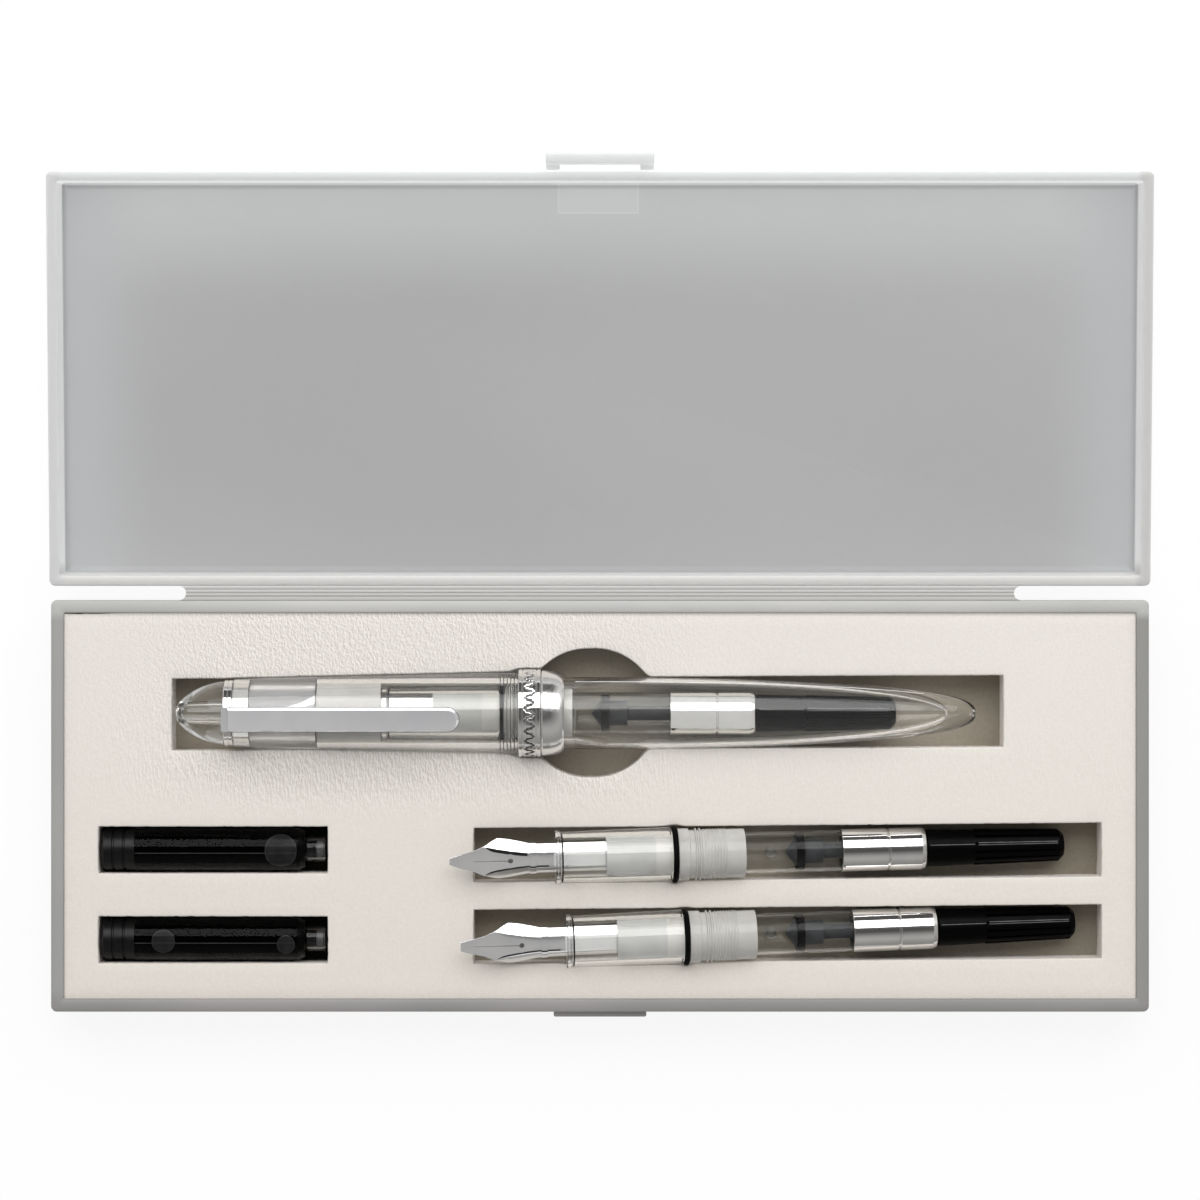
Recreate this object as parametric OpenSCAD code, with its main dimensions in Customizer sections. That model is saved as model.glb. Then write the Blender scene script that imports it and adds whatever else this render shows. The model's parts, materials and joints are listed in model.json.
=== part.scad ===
// Calligraphy set box: a hinged two-part plastic case, open flat, with a cut foam
// insert that holds a clear fountain pen, two spare nib units and two ink cartridges.
// Millimetres. The origin is the centre of the case's underside, +Z is up and +Y runs
// from the front latch catch to the hinge and on to the open lid.

/* [Base tray] */
// Length of the tray
base_w = 188; // [180:0.5:200]
// Depth of the tray, front to back
base_d = 70.5; // [69:0.5:80]
// Height of the tray's rim
base_h = 12.4; // [12:0.1:14]
// Thickness of the tray's walls
base_wall = 2.2; // [1.6:0.1:2.4]
// Thickness of the tray's floor
base_floor = 1.6; // [1.2:0.1:2]
// Radius of the upright corners of tray and lid
corner_r = 1; // [0.8:0.1:2.5]
// Length of the catch on the tray's front wall
catch_w = 15.9; // [12:0.1:18]
// How far the catch stands out
catch_out = 1; // [0.6:0.1:1.1]
// Height of the catch
catch_h = 1.4; // [1:0.1:2]
// Distance of the catch below the rim
catch_drop = 1.6; // [1:0.1:3]

/* [Lid] */
// How much longer the lid is than the tray
lid_more_w = 0.5; // [0:0.1:1]
// How much deeper the lid is than the tray
lid_more_d = 0.2; // [0:0.1:0.6]
// Outer depth of the lid's shell
lid_h = 10.4; // [10:0.1:13]
// Thickness of the lid's walls
lid_wall = 1.8; // [1.4:0.1:2.2]
// Thickness of the lid's panel
lid_panel = 1.6; // [1.2:0.1:1.8]
// Gap between the two rims when the case is shut
rim_gap = 0.2; // [0.1:0.05:0.4]
// Angle by which the open lid's free edge stands above flat
lid_rest_tilt = 4; // [0:0.5:6]
// Length of the thumb recess in the lid's outer face
recess_w = 13.9; // [10:0.1:16]
// Width of the thumb recess
recess_d = 5.1; // [4:0.1:8]
// Depth of the thumb recess
recess_h = 0.5; // [0.3:0.1:0.8]

/* [Hinge] */
// Distance between tray and lid when the case lies open
hinge_gap = 2.4; // [2:0.1:3]
// Length of the thin bending strip
hinge_len = 141.7; // [100:0.1:160]
// Thickness of the strip
hinge_t = 0.45; // [0.3:0.05:0.6]
// Width of each lengthwise groove in the strip
groove_w = 0.35; // [0.2:0.05:0.5]
// Depth of each groove
groove_depth = 0.15; // [0.05:0.01:0.2]
// Number of grooves
groove_count = 3; // [1:1:4]

/* [Latch] */
// Width of the latch tab
tab_w = 18.3; // [16:0.1:22]
// How far the tab's outer face stands out from the lid
tab_out = 2.9; // [2.6:0.1:3.4]
// Open space between the tab and the lid
tab_slot = 1; // [1:0.05:1.2]
// Width of that open space
tab_slot_w = 13.7; // [10:0.1:14]
// How far the tab reaches past the rim
tab_reach = 4.4; // [4:0.1:6]
// How far the tab reaches back from the rim
tab_root = 6.9; // [5:0.1:8]

/* [Foam insert] */
// Thickness of the backing pad under the foam
pad_t = 3; // [2:0.1:3.2]
// Thickness of the cut foam sheet
foam_t = 7.1; // [6:0.1:7.4]
// Gap between a soft sheet or piece and what lies beside it
soft_gap = 0.3; // [0.2:0.05:0.4]
// How much longer the pen slot is than the pen
pen_slot_more = 5.4; // [3:0.1:8]
// Width of the pen slot
pen_slot_w = 12.2; // [10:0.1:14]
// Angle of the pen slot to the tray
pen_slot_skew = 0.24; // [0:0.02:0.4]
// Diameter of the finger hole
finger_d = 22; // [18:0.1:24]
// Distance of the finger hole's centre right of the tray's centre
finger_x = -1.5; // [-6:0.1:4]
// How much longer each spare slot is than a nib unit
spare_slot_more = 1.8; // [1.4:0.1:4]
// Width of each spare unit's slot
spare_slot_w = 9.1; // [8:0.1:10]
// Foam between the right wall and the spare slots
spare_margin = 5.9; // [5:0.1:7]
// Distance of the rear spare slot's centre line from the front wall
spare_slot_1_in = 25.05; // [24.05:0.1:27.05]
// Distance of the front spare slot's centre line from the front wall
spare_slot_2_in = 11.05; // [9.05:0.1:12.05]
// Angle of the spare slots to the tray
spare_slot_skew = 0.5; // [0:0.05:0.8]
// How much longer each cartridge slot is than a cartridge
cart_slot_more = 1; // [0.8:0.1:3]
// Foam between the left wall and the cartridge slots
cart_margin = 5.9; // [5:0.1:8]
// Distance of the rear cartridge slot's centre line from the front wall
cart_slot_1_in = 25.45; // [24.05:0.1:27.05]
// Distance of the front cartridge slot's centre line from the front wall
cart_slot_2_in = 10.05; // [8.05:0.1:12.05]

/* [Nib unit] */
// Length of the nib outside its section
nib_len = 18; // [16:0.1:20]
// Radius of the nib's round tail
nib_tail_r = 2.4; // [2.2:0.05:2.6]
// Length of the nib's tail inside the section
nib_tail_in = 8.7; // [6:0.1:10]
// Thickness of the nib's metal
nib_t = 0.35; // [0.25:0.05:0.4]
// Radius to which the blade is rolled
nib_blade_r = 3.8; // [3.6:0.05:4.2]
// Half width of the blade at its shoulders
nib_half_w = 3.5; // [3:0.05:3.55]
// Distance of the shoulders from the tip
nib_shoulder = 8.2; // [7:0.1:9]
// Angle by which the blade dips to its tip
nib_dip = 3; // [1:0.5:5]
// Width of the slit
slit_w = 0.12; // [0.1:0.01:0.2]
// Diameter of the breather hole
breather_d = 0.8; // [0.6:0.1:1.2]
// Distance of the breather hole from the tip
breather_at = 10.4; // [9.5:0.1:11]
// Writing width of the pen's tip
pen_tip_w = 1.1; // [0.8:0.1:1.9]
// Writing width of the first spare's tip
spare_1_tip_w = 1.1; // [0.8:0.1:1.9]
// Writing width of the second spare's tip
spare_2_tip_w = 1.5; // [0.8:0.1:1.9]
// Distance of the feed's nose from the tip
feed_nose_at = 5; // [4:0.1:7]
// Radius of the feed's rear part
feed_rear_r = 2.95; // [2.7:0.05:3.2]
// Length of the feed's rear part
feed_rear_l = 8.4; // [6:0.1:9]
// Length of the section's front flange
flange_len = 2.2; // [1.6:0.1:3]
// Radius of the flange's lip
flange_r = 4.6; // [4.5:0.05:4.75]
// Width of the flange's lip
lip_w = 0.8; // [0.5:0.1:1.2]
// Length of the grip
grip_len = 17.8; // [17:0.1:20]
// Radius of the grip at the nib end
grip_r0 = 4.4; // [4.2:0.05:4.6]
// Radius of the grip at the O-ring
grip_r1 = 4.75; // [4.6:0.05:4.8]
// Thickness of the O-ring
oring_t = 1; // [0.8:0.05:1.2]
// Outer radius of the O-ring
oring_r = 4.9; // [4.8:0.05:5]
// Length of the section's threaded part
thread_len = 11.5; // [10:0.1:13]
// Radius of the threaded part's crests
thread_r = 4.45; // [4.3:0.05:4.5]
// Depth of the thread
thread_depth = 0.25; // [0.15:0.05:0.3]
// Distance between thread ridges
thread_pitch = 0.9; // [0.7:0.05:1]
// Number of thread ridges
thread_count = 5; // [3:1:7]

/* [Converter] */
// Outer radius of the clear tube
tube_r = 3.6; // [3.5:0.05:3.65]
// Wall of the clear tube
tube_wall = 0.75; // [0.7:0.05:0.8]
// Length of tube that shows between section and ferrule
tube_show = 16.7; // [15:0.1:19]
// Length of tube inside the ferrule
tube_in_ferrule = 6.7; // [5:0.1:7]
// Length of the chrome ferrule
ferrule_len = 14.7; // [13:0.1:16]
// Radius of the ferrule
ferrule_r = 3.7; // [3.7:0.05:3.9]
// Distance of the ferrule's groove from its front edge
ferrule_groove_at = 8; // [7.5:0.1:10]
// Length of the knob outside the ferrule
knob_len = 23.8; // [22:0.1:26]
// Radius of the knob at the ferrule
knob_r0 = 3.2; // [2.9:0.05:3.4]
// Radius of the knob at its end
knob_r1 = 2.7; // [2.4:0.05:2.8]
// Length of the knob's ribbed part
rib_len = 15.4; // [12:0.1:17]
// Number of grooves between the ribs
rib_count = 14; // [8:1:18]
// Depth of those grooves
rib_depth = 0.18; // [0.1:0.02:0.25]
// Radius of the knob's shank in the ferrule
shank_r = 2.25; // [2:0.05:2.4]
// Radius of the piston rod
rod_r = 1.3; // [1.1:0.05:1.4]
// Length of the rod behind the seal's tip
rod_reach = 32; // [31:0.5:34]
// Length of the seal's cone
cone_len = 1.9; // [1.5:0.1:2.4]
// Length of the seal's disc
disc_len = 1.5; // [1.2:0.1:2]
// Length of the plunger body behind the disc
plunger_len = 3.1; // [2:0.1:3.2]
// Radius of the plunger body
plunger_r = 2.1; // [1.8:0.05:2.3]
// Distance from the seal's tip to the ferrule in the pen
pen_seal_gap = 13.8; // [9:0.1:15]
// Distance from the seal's tip to the ferrule in the first spare
spare_1_seal_gap = 9.7; // [8:0.1:13]
// Distance from the seal's tip to the ferrule in the second spare
spare_2_seal_gap = 11.6; // [8:0.1:13]
// Radius of the loose mixing ball
ball_r = 1; // [0.8:0.05:1.2]
// Distance of the ball's centre ahead of the seal's tip
ball_ahead = 2.2; // [2:0.1:3]

/* [Spare units] */
// Place of the first spare's O-ring: past its slot's left end, behind its middle, up
spare_1_at = [34.3, -0.3, 12.7]; // [-1:0.1:40]
// Angle of the first spare to the tray's length
spare_1_yaw = 1.2; // [0:0.1:1.6]
// Place of the second spare's O-ring: past its slot's left end, behind its middle, up
spare_2_at = [36.2, -0.4, 12.7]; // [-1:0.1:40]
// Angle of the second spare to the tray's length
spare_2_yaw = 1.8; // [0:0.1:2]
// Roll of the spare nibs towards the front
nib_roll = 18; // [0:1:30]

/* [Pen] */
// Room between the left wall and the pen
pen_margin = 19.1; // [19:0.1:19.6]
// Distance of the pen's centre line from the rear wall
pen_in = 17.15; // [16.05:0.1:19.05]
// Length of the domed finial
finial_len = 8.5; // [7:0.1:9]
// Radius of the finial's base
finial_r = 5.5; // [5:0.05:5.6]
// Radius of the finial's stem
stem_r = 3; // [2:0.1:3.4]
// Length of the clip ring
ring_len = 1.6; // [1.2:0.1:2]
// Radius of the clip ring
ring_r = 5.65; // [5.5:0.05:5.8]
// Length of the bushing inside the cap
bushing_len = 2.8; // [2:0.1:3.5]
// Room ahead of the nib's tip
nose_gap = 4.6; // [4:0.1:6]
// Length of the inner cap
liner_len = 11.1; // [9:0.1:12]
// Inner radius of the inner cap
liner_bore_r = 4; // [3.9:0.05:4.1]
// Outer radius of the cap beside the clip ring
cap_r0 = 5.85; // [5.85:0.05:6]
// Outer radius of the cap beside the band
cap_r1 = 6.95; // [6.8:0.05:7]
// Inner radius of the cap
cap_bore_r = 5.15; // [5.15:0.01:5.2]
// Length of the cap's chrome band
band_len = 3.8; // [3:0.1:5]
// Radius of the band
band_r = 7.5; // [7.2:0.05:7.6]
// Wall of the band
band_wall = 1.1; // [0.8:0.05:1.2]
// Length of the barrel's neck inside the cap
neck_len = 6.1; // [5:0.1:7]
// Radius of the barrel's neck
neck_r = 4.9; // [4.85:0.01:4.95]
// Number of thread ridges on the neck
neck_threads = 4; // [2:1:5]
// Distance between the neck's ridges
neck_pitch = 0.7; // [0.6:0.05:0.8]
// Length of the barrel's chrome ring
trim_len = 4; // [3:0.1:5]
// Radius of the chrome ring at the band
trim_r = 7.35; // [7:0.05:7.45]
// Radius of the barrel behind the chrome ring
barrel_r = 6.16; // [6:0.02:6.3]
// Radius of the barrel under the chrome ring
seat_r = 5.6; // [5.4:0.05:5.7]
// Inner radius of the barrel around the converter
barrel_bore_r = 4.2; // [4:0.05:4.3]
// Least wall of the barrel's tapering end
barrel_wall = 1.1; // [0.8:0.05:1.2]
// Distance from the knob's end to the barrel's tip
barrel_tail = 13.8; // [12:0.1:14]
// Thickness of the barrel's solid tip
tip_solid = 2.9; // [2:0.1:4]
// Length of the clip
clip_len = 40.4; // [34:0.1:44]
// Width of the clip
clip_w = 4.4; // [3:0.1:5]
// Thickness of the clip
clip_t = 0.8; // [0.6:0.05:1]
// Height of the clip's top above the pen's axis
clip_top = 8.25; // [8:0.05:8.3]
// Roll of the clip towards the front
clip_roll = 7; // [0:1:12]
// Radius of the ball under the clip's end
clip_ball_r = 0.7; // [0.6:0.05:0.8]

/* [Cartridge] */
// Length of the cartridge's body
cart_body_l = 35; // [34:0.1:35.5]
// Radius of the body
cart_r = 3.65; // [3.5:0.05:3.75]
// Wall of the shell
cart_wall = 0.6; // [0.5:0.05:0.8]
// Length of the neck
cart_neck_l = 3.2; // [2:0.1:3.4]
// Radius of the neck
cart_neck_r = 2.15; // [1.8:0.05:2.4]
// Length of the clear stepped tail
cart_tail_l = 5.6; // [4:0.1:7]
// Number of ring grooves in the tail
cart_rings = 2; // [1:1:3]
// Thickness of the plug in the neck
plug_t = 1.2; // [0.8:0.1:2]

/* [Fits] */
// Radial gap of assembled pieces
fit = 0.05; // [0.02:0.01:0.06]
// Radial gap of turning and sliding pieces
run = 0.08; // [0.04:0.01:0.1]

/* [Hidden] */
$fn = 64;

// Which unit a piece belongs to
PEN = 0;
SPARE_1 = 1;
SPARE_2 = 2;

// A cut goes this far past the face that it opens
over = 1;

// Levels
pad_top = base_floor + pad_t;
hinge_y = base_d / 2 + hinge_gap / 2;
hinge_z = base_h + rim_gap / 2;
lid_w = base_w + lid_more_w;
lid_d = base_d + lid_more_d;
lid_edge_y = hinge_gap / 2 + lid_d;
lid_rim_z = -rim_gap / 2;

// Stations along a nib unit, from the nib's tip
u_flange = nib_len;
u_grip = u_flange + flange_len;
u_oring = u_grip + grip_len;
u_thread = u_oring + oring_t;
u_tube = u_thread + thread_len;
u_ferrule = u_tube + tube_show;
u_knob = u_ferrule + ferrule_len;
u_end = u_knob + knob_len;
u_tail_end = u_flange + nib_tail_in;
u_feed_end = u_tail_end + feed_rear_l;
u_socket = u_thread + 1;
u_tube_end = u_ferrule + tube_in_ferrule;
nib_collar_at = nib_len - 4.2;
nib_collar_w = 1.1;
nipple_len = 3;
nipple_r = 1.5;
ink_hole_r = 0.7;
tube_mouth_t = 1.4;
spigot_r = tube_r - 0.35;
tube_bore_r = tube_r - tube_wall;
seal_gaps = [pen_seal_gap, spare_1_seal_gap, spare_2_seal_gap];
tip_widths = [pen_tip_w, spare_1_tip_w, spare_2_tip_w];

// The tray's walls, seen from inside, are this far from its centre
wall_x = base_w / 2 - base_wall;
wall_y = base_d / 2 - base_wall;

// The spare units lie on the pad at their knob end
spare_slot_l = u_end + spare_slot_more;
spare_slot_x = wall_x - spare_margin - spare_slot_l;
spare_slot_y = [0, spare_slot_1_in - wall_y, spare_slot_2_in - wall_y];
spare_from = [[0, 0, 0], spare_1_at, spare_2_at];
spare_at = [for (k = [PEN:SPARE_2]) spare_from[k] + [spare_slot_x, spare_slot_y[k], 0]];
spare_yaw = [0, spare_1_yaw, spare_2_yaw];
u_ring_mid = u_oring + oring_t / 2;
function spare_pitch(k) =
  asin((spare_at[k][2] - pad_top - soft_gap - knob_r1) / (u_end - u_ring_mid));

// Stations along the pen, from the finial's tip
p_ring = finial_len;
p_cap = p_ring + ring_len;
p_bushing_end = p_cap + bushing_len;
p_unit = p_bushing_end + nose_gap;
p_flange = p_unit + u_flange;
p_liner = p_flange - liner_len;
p_barrel = p_unit + u_thread;
p_cap_end = p_barrel + neck_len;
p_band = p_cap_end - band_len;
p_body = p_cap_end + trim_len;
p_end = p_unit + u_end + barrel_tail;
pen_slot_l = p_end + pen_slot_more;
pen_x = pen_margin - wall_x;
pen_y = wall_y - pen_in;
pen_z = pad_top + soft_gap + band_r;

// Cartridges
cart_slot_l = cart_body_l + cart_neck_l + cart_slot_more;
cart_slot_x = cart_margin - wall_x;
cart_slot_w = 2 * cart_r + 2 * soft_gap;
cart_z = pad_top + soft_gap + cart_r;
cart_y = [0, cart_slot_1_in - wall_y, cart_slot_2_in - wall_y];

// Radius of the cap and of the barrel at a station
function cap_radius(p) = cap_r0 + (cap_r1 - cap_r0) * (p - p_cap) / (p_band - p_cap);
function barrel_radius(p) =
  barrel_r * pow(max(0, 1 - pow((p - p_body) / (p_end - p_body), 2.2)), 0.36);

// A solid of revolution along +X, from [station, radius] points
module turned(points) {
  first = points[0][0];
  last = points[len(points) - 1][0];
  outline = concat([[0, first]], [for (q = points) [q[1], q[0]]], [[0, last]]);
  rotate([0, 90, 0])
    rotate_extrude()
      polygon(outline);
}

// A straight round rod or hole along +X
module round_x(from, to, r) {
  translate([from, 0, 0])
    rotate([0, 90, 0])
      cylinder(h = to - from, r = r);
}

// A turned shape and the way straight up out of it
module channel(points, rise) {
  low_side = [for (i = [len(points) - 1:-1:0]) [points[i][0], -points[i][1]]];
  turned(points);
  linear_extrude(rise)
    polygon(concat(points, low_side));
}

// A rectangle with true arcs at its corners
module rounded_rect(w, d, r) {
  square([w - 2 * r, d], center = true);
  square([w, d - 2 * r], center = true);
  for (x = [-1, 1], y = [-1, 1])
    translate([x * (w / 2 - r), y * (d / 2 - r)])
      circle(r);
}

module base_tray() {
  color([0.62, 0.62, 0.63])
  difference() {
    union() {
      linear_extrude(base_h)
        rounded_rect(base_w, base_d, corner_r);
      translate([-catch_w / 2, -base_d / 2 - catch_out, base_h - catch_drop - catch_h])
        cube([catch_w, catch_out + base_wall / 2, catch_h]);
    }
    translate([0, 0, base_floor])
      linear_extrude(base_h)
        rounded_rect(base_w - 2 * base_wall, base_d - 2 * base_wall, corner_r / 2);
  }
}

module backing_pad() {
  color([0.47, 0.44, 0.39])
  translate([0, 0, base_floor])
    linear_extrude(pad_t)
      square([base_w - 2 * base_wall - 2 * soft_gap,
              base_d - 2 * base_wall - 2 * soft_gap], center = true);
}

// The strip joins the tray's rear rim to the lid's rim
module living_hinge() {
  pitch = hinge_gap / (groove_count + 1);
  color([0.78, 0.78, 0.79])
  difference() {
    translate([-hinge_len / 2, base_d / 2, base_h - hinge_t])
      cube([hinge_len, hinge_gap - fit, hinge_t]);
    for (i = [1:groove_count])
      translate([-hinge_len / 2 - over, base_d / 2 + i * pitch - groove_w / 2,
                 base_h - groove_depth])
        cube([hinge_len + 2 * over, groove_w, over]);
  }
}

// Lid pieces are drawn from the hinge axis, with the lid open and its rim up
module place_lid() {
  translate([0, hinge_y, hinge_z])
    rotate([lid_rest_tilt, 0, 0])
      children();
}

module lid_shell() {
  middle = hinge_gap / 2 + lid_d / 2;
  color([0.74, 0.74, 0.75])
  place_lid()
  difference() {
    translate([0, middle, lid_rim_z - lid_h])
      linear_extrude(lid_h)
        rounded_rect(lid_w, lid_d, corner_r);
    translate([0, middle, lid_rim_z - lid_h + lid_panel])
      linear_extrude(lid_h)
        rounded_rect(lid_w - 2 * lid_wall, lid_d - 2 * lid_wall, corner_r / 2);
    translate([-recess_w / 2, lid_edge_y - lid_wall - recess_d, lid_rim_z - lid_h - over])
      cube([recess_w, recess_d, over + recess_h]);
  }
}

// The tab bends about its root, and its two side ribs leave a slot behind it
module latch_tab() {
  rib_w = (tab_w - tab_slot_w) / 2;
  root_z = lid_rim_z - tab_root;
  face_y = lid_edge_y + tab_slot;
  color([0.85, 0.85, 0.86])
  place_lid() {
    translate([-tab_w / 2, face_y, root_z])
      cube([tab_w, tab_out - tab_slot, tab_root + tab_reach]);
    for (x = [-tab_w / 2, tab_w / 2 - rib_w])
      translate([x, lid_edge_y + fit, root_z])
        cube([rib_w, tab_slot, tab_root]);
  }
}

module foam_insert() {
  inner_w = base_w - 2 * base_wall - 2 * soft_gap;
  inner_d = base_d - 2 * base_wall - 2 * soft_gap;
  color([0.89, 0.87, 0.84])
  difference() {
    translate([0, 0, pad_top])
      linear_extrude(foam_t)
        square([inner_w, inner_d], center = true);
    pen_room();
    for (k = [SPARE_1, SPARE_2])
      spare_room(k);
    for (k = [1, 2])
      cartridge_room(k);
  }
}

// Slot, finger hole and cradle that hold the pen
module pen_room() {
  slot_mid = pen_x - 2 * soft_gap + pen_slot_l / 2;
  translate([slot_mid, pen_y, pad_top - over])
    rotate([0, 0, pen_slot_skew])
      linear_extrude(foam_t + 2 * over)
        square([pen_slot_l, pen_slot_w], center = true);
  translate([finger_x, pen_y, pad_top - over])
    cylinder(h = foam_t + 2 * over, d = finger_d);
  place_pen()
    channel([
      [-soft_gap, finial_r + soft_gap],
      [p_cap, cap_r0 + soft_gap],
      [p_band - soft_gap, cap_r1 + soft_gap],
      [p_band - soft_gap, band_r + soft_gap],
      [p_body + soft_gap, band_r + soft_gap],
      [p_body + soft_gap, barrel_r + soft_gap],
      [p_end + soft_gap, barrel_radius((p_body + p_end) / 2) + soft_gap]
    ], foam_t);
}

// Slot and cradle that hold a spare unit
module spare_room(k) {
  front_r = oring_r + soft_gap;
  rear_r = ferrule_r + soft_gap;
  split = u_tube + over;
  translate([spare_slot_x + spare_slot_l / 2, spare_slot_y[k], pad_top - over])
    rotate([0, 0, spare_slot_skew])
      linear_extrude(foam_t + 2 * over)
        square([spare_slot_l, spare_slot_w], center = true);
  place_unit(k)
    channel([
      [u_flange - over, front_r],
      [split, front_r],
      [split, rear_r],
      [u_end + soft_gap, rear_r]
    ], foam_t + pad_t);
}

module cartridge_room(k) {
  translate([cart_slot_x, cart_y[k] - cart_slot_w / 2, pad_top - over])
    cube([cart_slot_l, cart_slot_w, foam_t + 2 * over]);
}

// Pen pieces are drawn along +X from the finial's tip
module place_pen() {
  translate([pen_x, pen_y, pen_z])
    children();
}

// Unit pieces are drawn along +X from the nib's tip
module place_unit(k) {
  if (k == PEN) {
    place_pen()
      translate([p_unit, 0, 0])
        children();
  } else {
    translate(spare_at[k])
      rotate([0, spare_pitch(k), spare_yaw[k]])
        translate([-u_ring_mid, 0, 0])
          children();
  }
}

module pen_finial() {
  dome = [for (i = [0:16])
    [finial_len * i / 16, finial_r * pow(1 - pow(1 - i / 16, 1.6), 0.55)]];
  color([0.85, 0.85, 0.85])
  place_pen()
    turned(concat(dome, [[p_ring, stem_r], [p_bushing_end - fit, stem_r]]));
}

module pen_clip_ring() {
  color([0.8, 0.8, 0.82])
  place_pen()
  difference() {
    round_x(p_ring, p_cap, ring_r);
    round_x(p_ring - over, p_cap + over, stem_r + fit);
  }
}

// The clip swings about its root on the clip ring
module pen_clip() {
  end_p = p_ring + clip_len;
  low = clip_top - clip_t;
  ball_p = end_p - clip_w / 2;
  ball_z = cap_radius(ball_p) + clip_ball_r + 2 * fit;
  color([0.82, 0.82, 0.84])
  place_pen()
  rotate([clip_roll, 0, 0]) {
    translate([p_ring, -clip_w / 2, low])
      cube([clip_len - clip_w / 2, clip_w, clip_t]);
    translate([end_p - clip_w / 2, 0, low])
      cylinder(h = clip_t, d = clip_w);
    translate([p_ring, -clip_w / 2, ring_r + 2 * fit])
      cube([ring_len, clip_w, clip_top - ring_r - 2 * fit]);
    translate([ball_p, 0, ball_z])
      sphere(clip_ball_r);
  }
}

module pen_clip_bushing() {
  color([0.8, 0.8, 0.82])
  place_pen()
  difference() {
    round_x(p_cap + fit, p_bushing_end, cap_bore_r - fit);
    round_x(p_cap - over, p_bushing_end + over, stem_r + fit);
  }
}

module pen_cap_shell() {
  spigot = band_r - band_wall - fit;
  color([0.86, 0.87, 0.87])
  place_pen()
  difference() {
    turned([[p_cap + fit, cap_r0], [p_band - fit, cap_r1], [p_band - fit, spigot],
            [p_cap_end, spigot]]);
    round_x(p_cap - over, p_bushing_end + fit, cap_bore_r);
    round_x(p_bushing_end, p_liner, liner_bore_r);
    round_x(p_liner - fit, p_cap_end + over, cap_bore_r);
  }
}

// Inner cap that seals round the nib
module pen_inner_cap() {
  color([0.8, 0.82, 0.83])
  place_pen()
  difference() {
    round_x(p_liner, p_flange - fit, cap_bore_r - fit);
    round_x(p_liner - over, p_flange + over, liner_bore_r);
  }
}

module pen_cap_band() {
  edge = band_len * 0.18;
  nick = 0.15;
  color([0.8, 0.8, 0.82])
  place_pen()
  difference() {
    turned([
      [p_band, band_r - nick], [p_band + nick, band_r], [p_band + edge, band_r],
      [p_band + edge, band_r - nick], [p_band + edge + nick, band_r - nick],
      [p_band + edge + nick, band_r], [p_cap_end - edge - nick, band_r],
      [p_cap_end - edge - nick, band_r - nick], [p_cap_end - edge, band_r - nick],
      [p_cap_end - edge, band_r], [p_cap_end - nick, band_r], [p_cap_end, band_r - nick]
    ]);
    round_x(p_band - over, p_cap_end + over, band_r - band_wall);
  }
}

module pen_barrel_shell() {
  steps = 28;
  p_solid = p_end - tip_solid;
  thread_room = thread_r + run;
  p_room_end = p_unit + u_tube + 4 * run;
  taper_from = (p_body + p_solid) / 2;
  outside = [for (i = [0:steps])
    let (t = sin(90 * i / steps), p = p_body + (p_end - p_body) * t)
    [p, barrel_radius(p)]];
  inside = [for (i = [0:steps])
    let (p = taper_from + (p_solid - taper_from) * i / steps)
    [p, min(barrel_bore_r, barrel_radius(p) - barrel_wall)]];
  color([0.84, 0.85, 0.85])
  place_pen()
  difference() {
    union() {
      turned(concat([[p_barrel + fit, neck_r], [p_cap_end + fit, neck_r],
                     [p_cap_end + fit, seat_r], [p_body, seat_r]], outside));
      for (i = [0:neck_threads - 1])
        let (p = p_barrel + 2 * neck_pitch / 3 + i * neck_pitch, w = neck_pitch / 3)
        turned([[p - w, neck_r - fit], [p, cap_bore_r - run], [p + w, neck_r - fit]]);
    }
    round_x(p_barrel - over, p_room_end, thread_room);
    turned(concat([[p_room_end - over, barrel_bore_r]], inside));
  }
}

module pen_barrel_ring() {
  rise = trim_r - barrel_r;
  steps = 8;
  dome = [for (i = [0:steps])
    [p_cap_end + fit + (trim_len - 2 * fit) * i / steps,
     barrel_r + rise * sqrt(1 - pow(0.98 * i / steps, 2))]];
  color([0.8, 0.8, 0.82])
  place_pen()
  difference() {
    turned(dome);
    round_x(p_cap_end - over, p_body + over, seat_r + fit);
  }
}

// Blade rolled from sheet, round tail, slit and breather hole
module unit_nib(k) {
  axis_z = nib_tail_r - nib_blade_r;
  half_tip = tip_widths[k] / 2;
  blade_end = nib_collar_at + nib_collar_w;
  roll = k == PEN ? 0 : nib_roll;
  color([0.8, 0.8, 0.82])
  place_unit(k)
  rotate([roll, 0, 0])
  difference() {
    union() {
      intersection() {
        translate([blade_end, 0, nib_tail_r])
          rotate([0, -nib_dip, 0])
            translate([-blade_end, 0, -nib_tail_r + axis_z])
              difference() {
                round_x(-over, blade_end, nib_blade_r);
                round_x(-2 * over, blade_end + over, nib_blade_r - nib_t);
              }
        linear_extrude(nib_blade_r)
          polygon([
            [0, -half_tip], [nib_shoulder - 1, -nib_half_w + 0.4],
            [nib_shoulder, -nib_half_w], [nib_shoulder + 1, -nib_half_w + 0.3],
            [blade_end, -nib_tail_r * 0.9], [blade_end, nib_tail_r * 0.9],
            [nib_shoulder + 1, nib_half_w - 0.3], [nib_shoulder, nib_half_w],
            [nib_shoulder - 1, nib_half_w - 0.4], [0, half_tip]
          ]);
      }
      difference() {
        union() {
          round_x(nib_collar_at, u_tail_end, nib_tail_r);
          round_x(nib_collar_at, nib_collar_at + nib_collar_w, nib_tail_r + 0.1);
        }
        round_x(nib_collar_at - over, u_tail_end + over, nib_tail_r - nib_t);
      }
    }
    translate([-over, -slit_w / 2, 0])
      cube([breather_at + over, slit_w, nib_blade_r]);
    translate([breather_at, 0, 0])
      cylinder(h = nib_blade_r, d = breather_d);
  }
}

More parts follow.
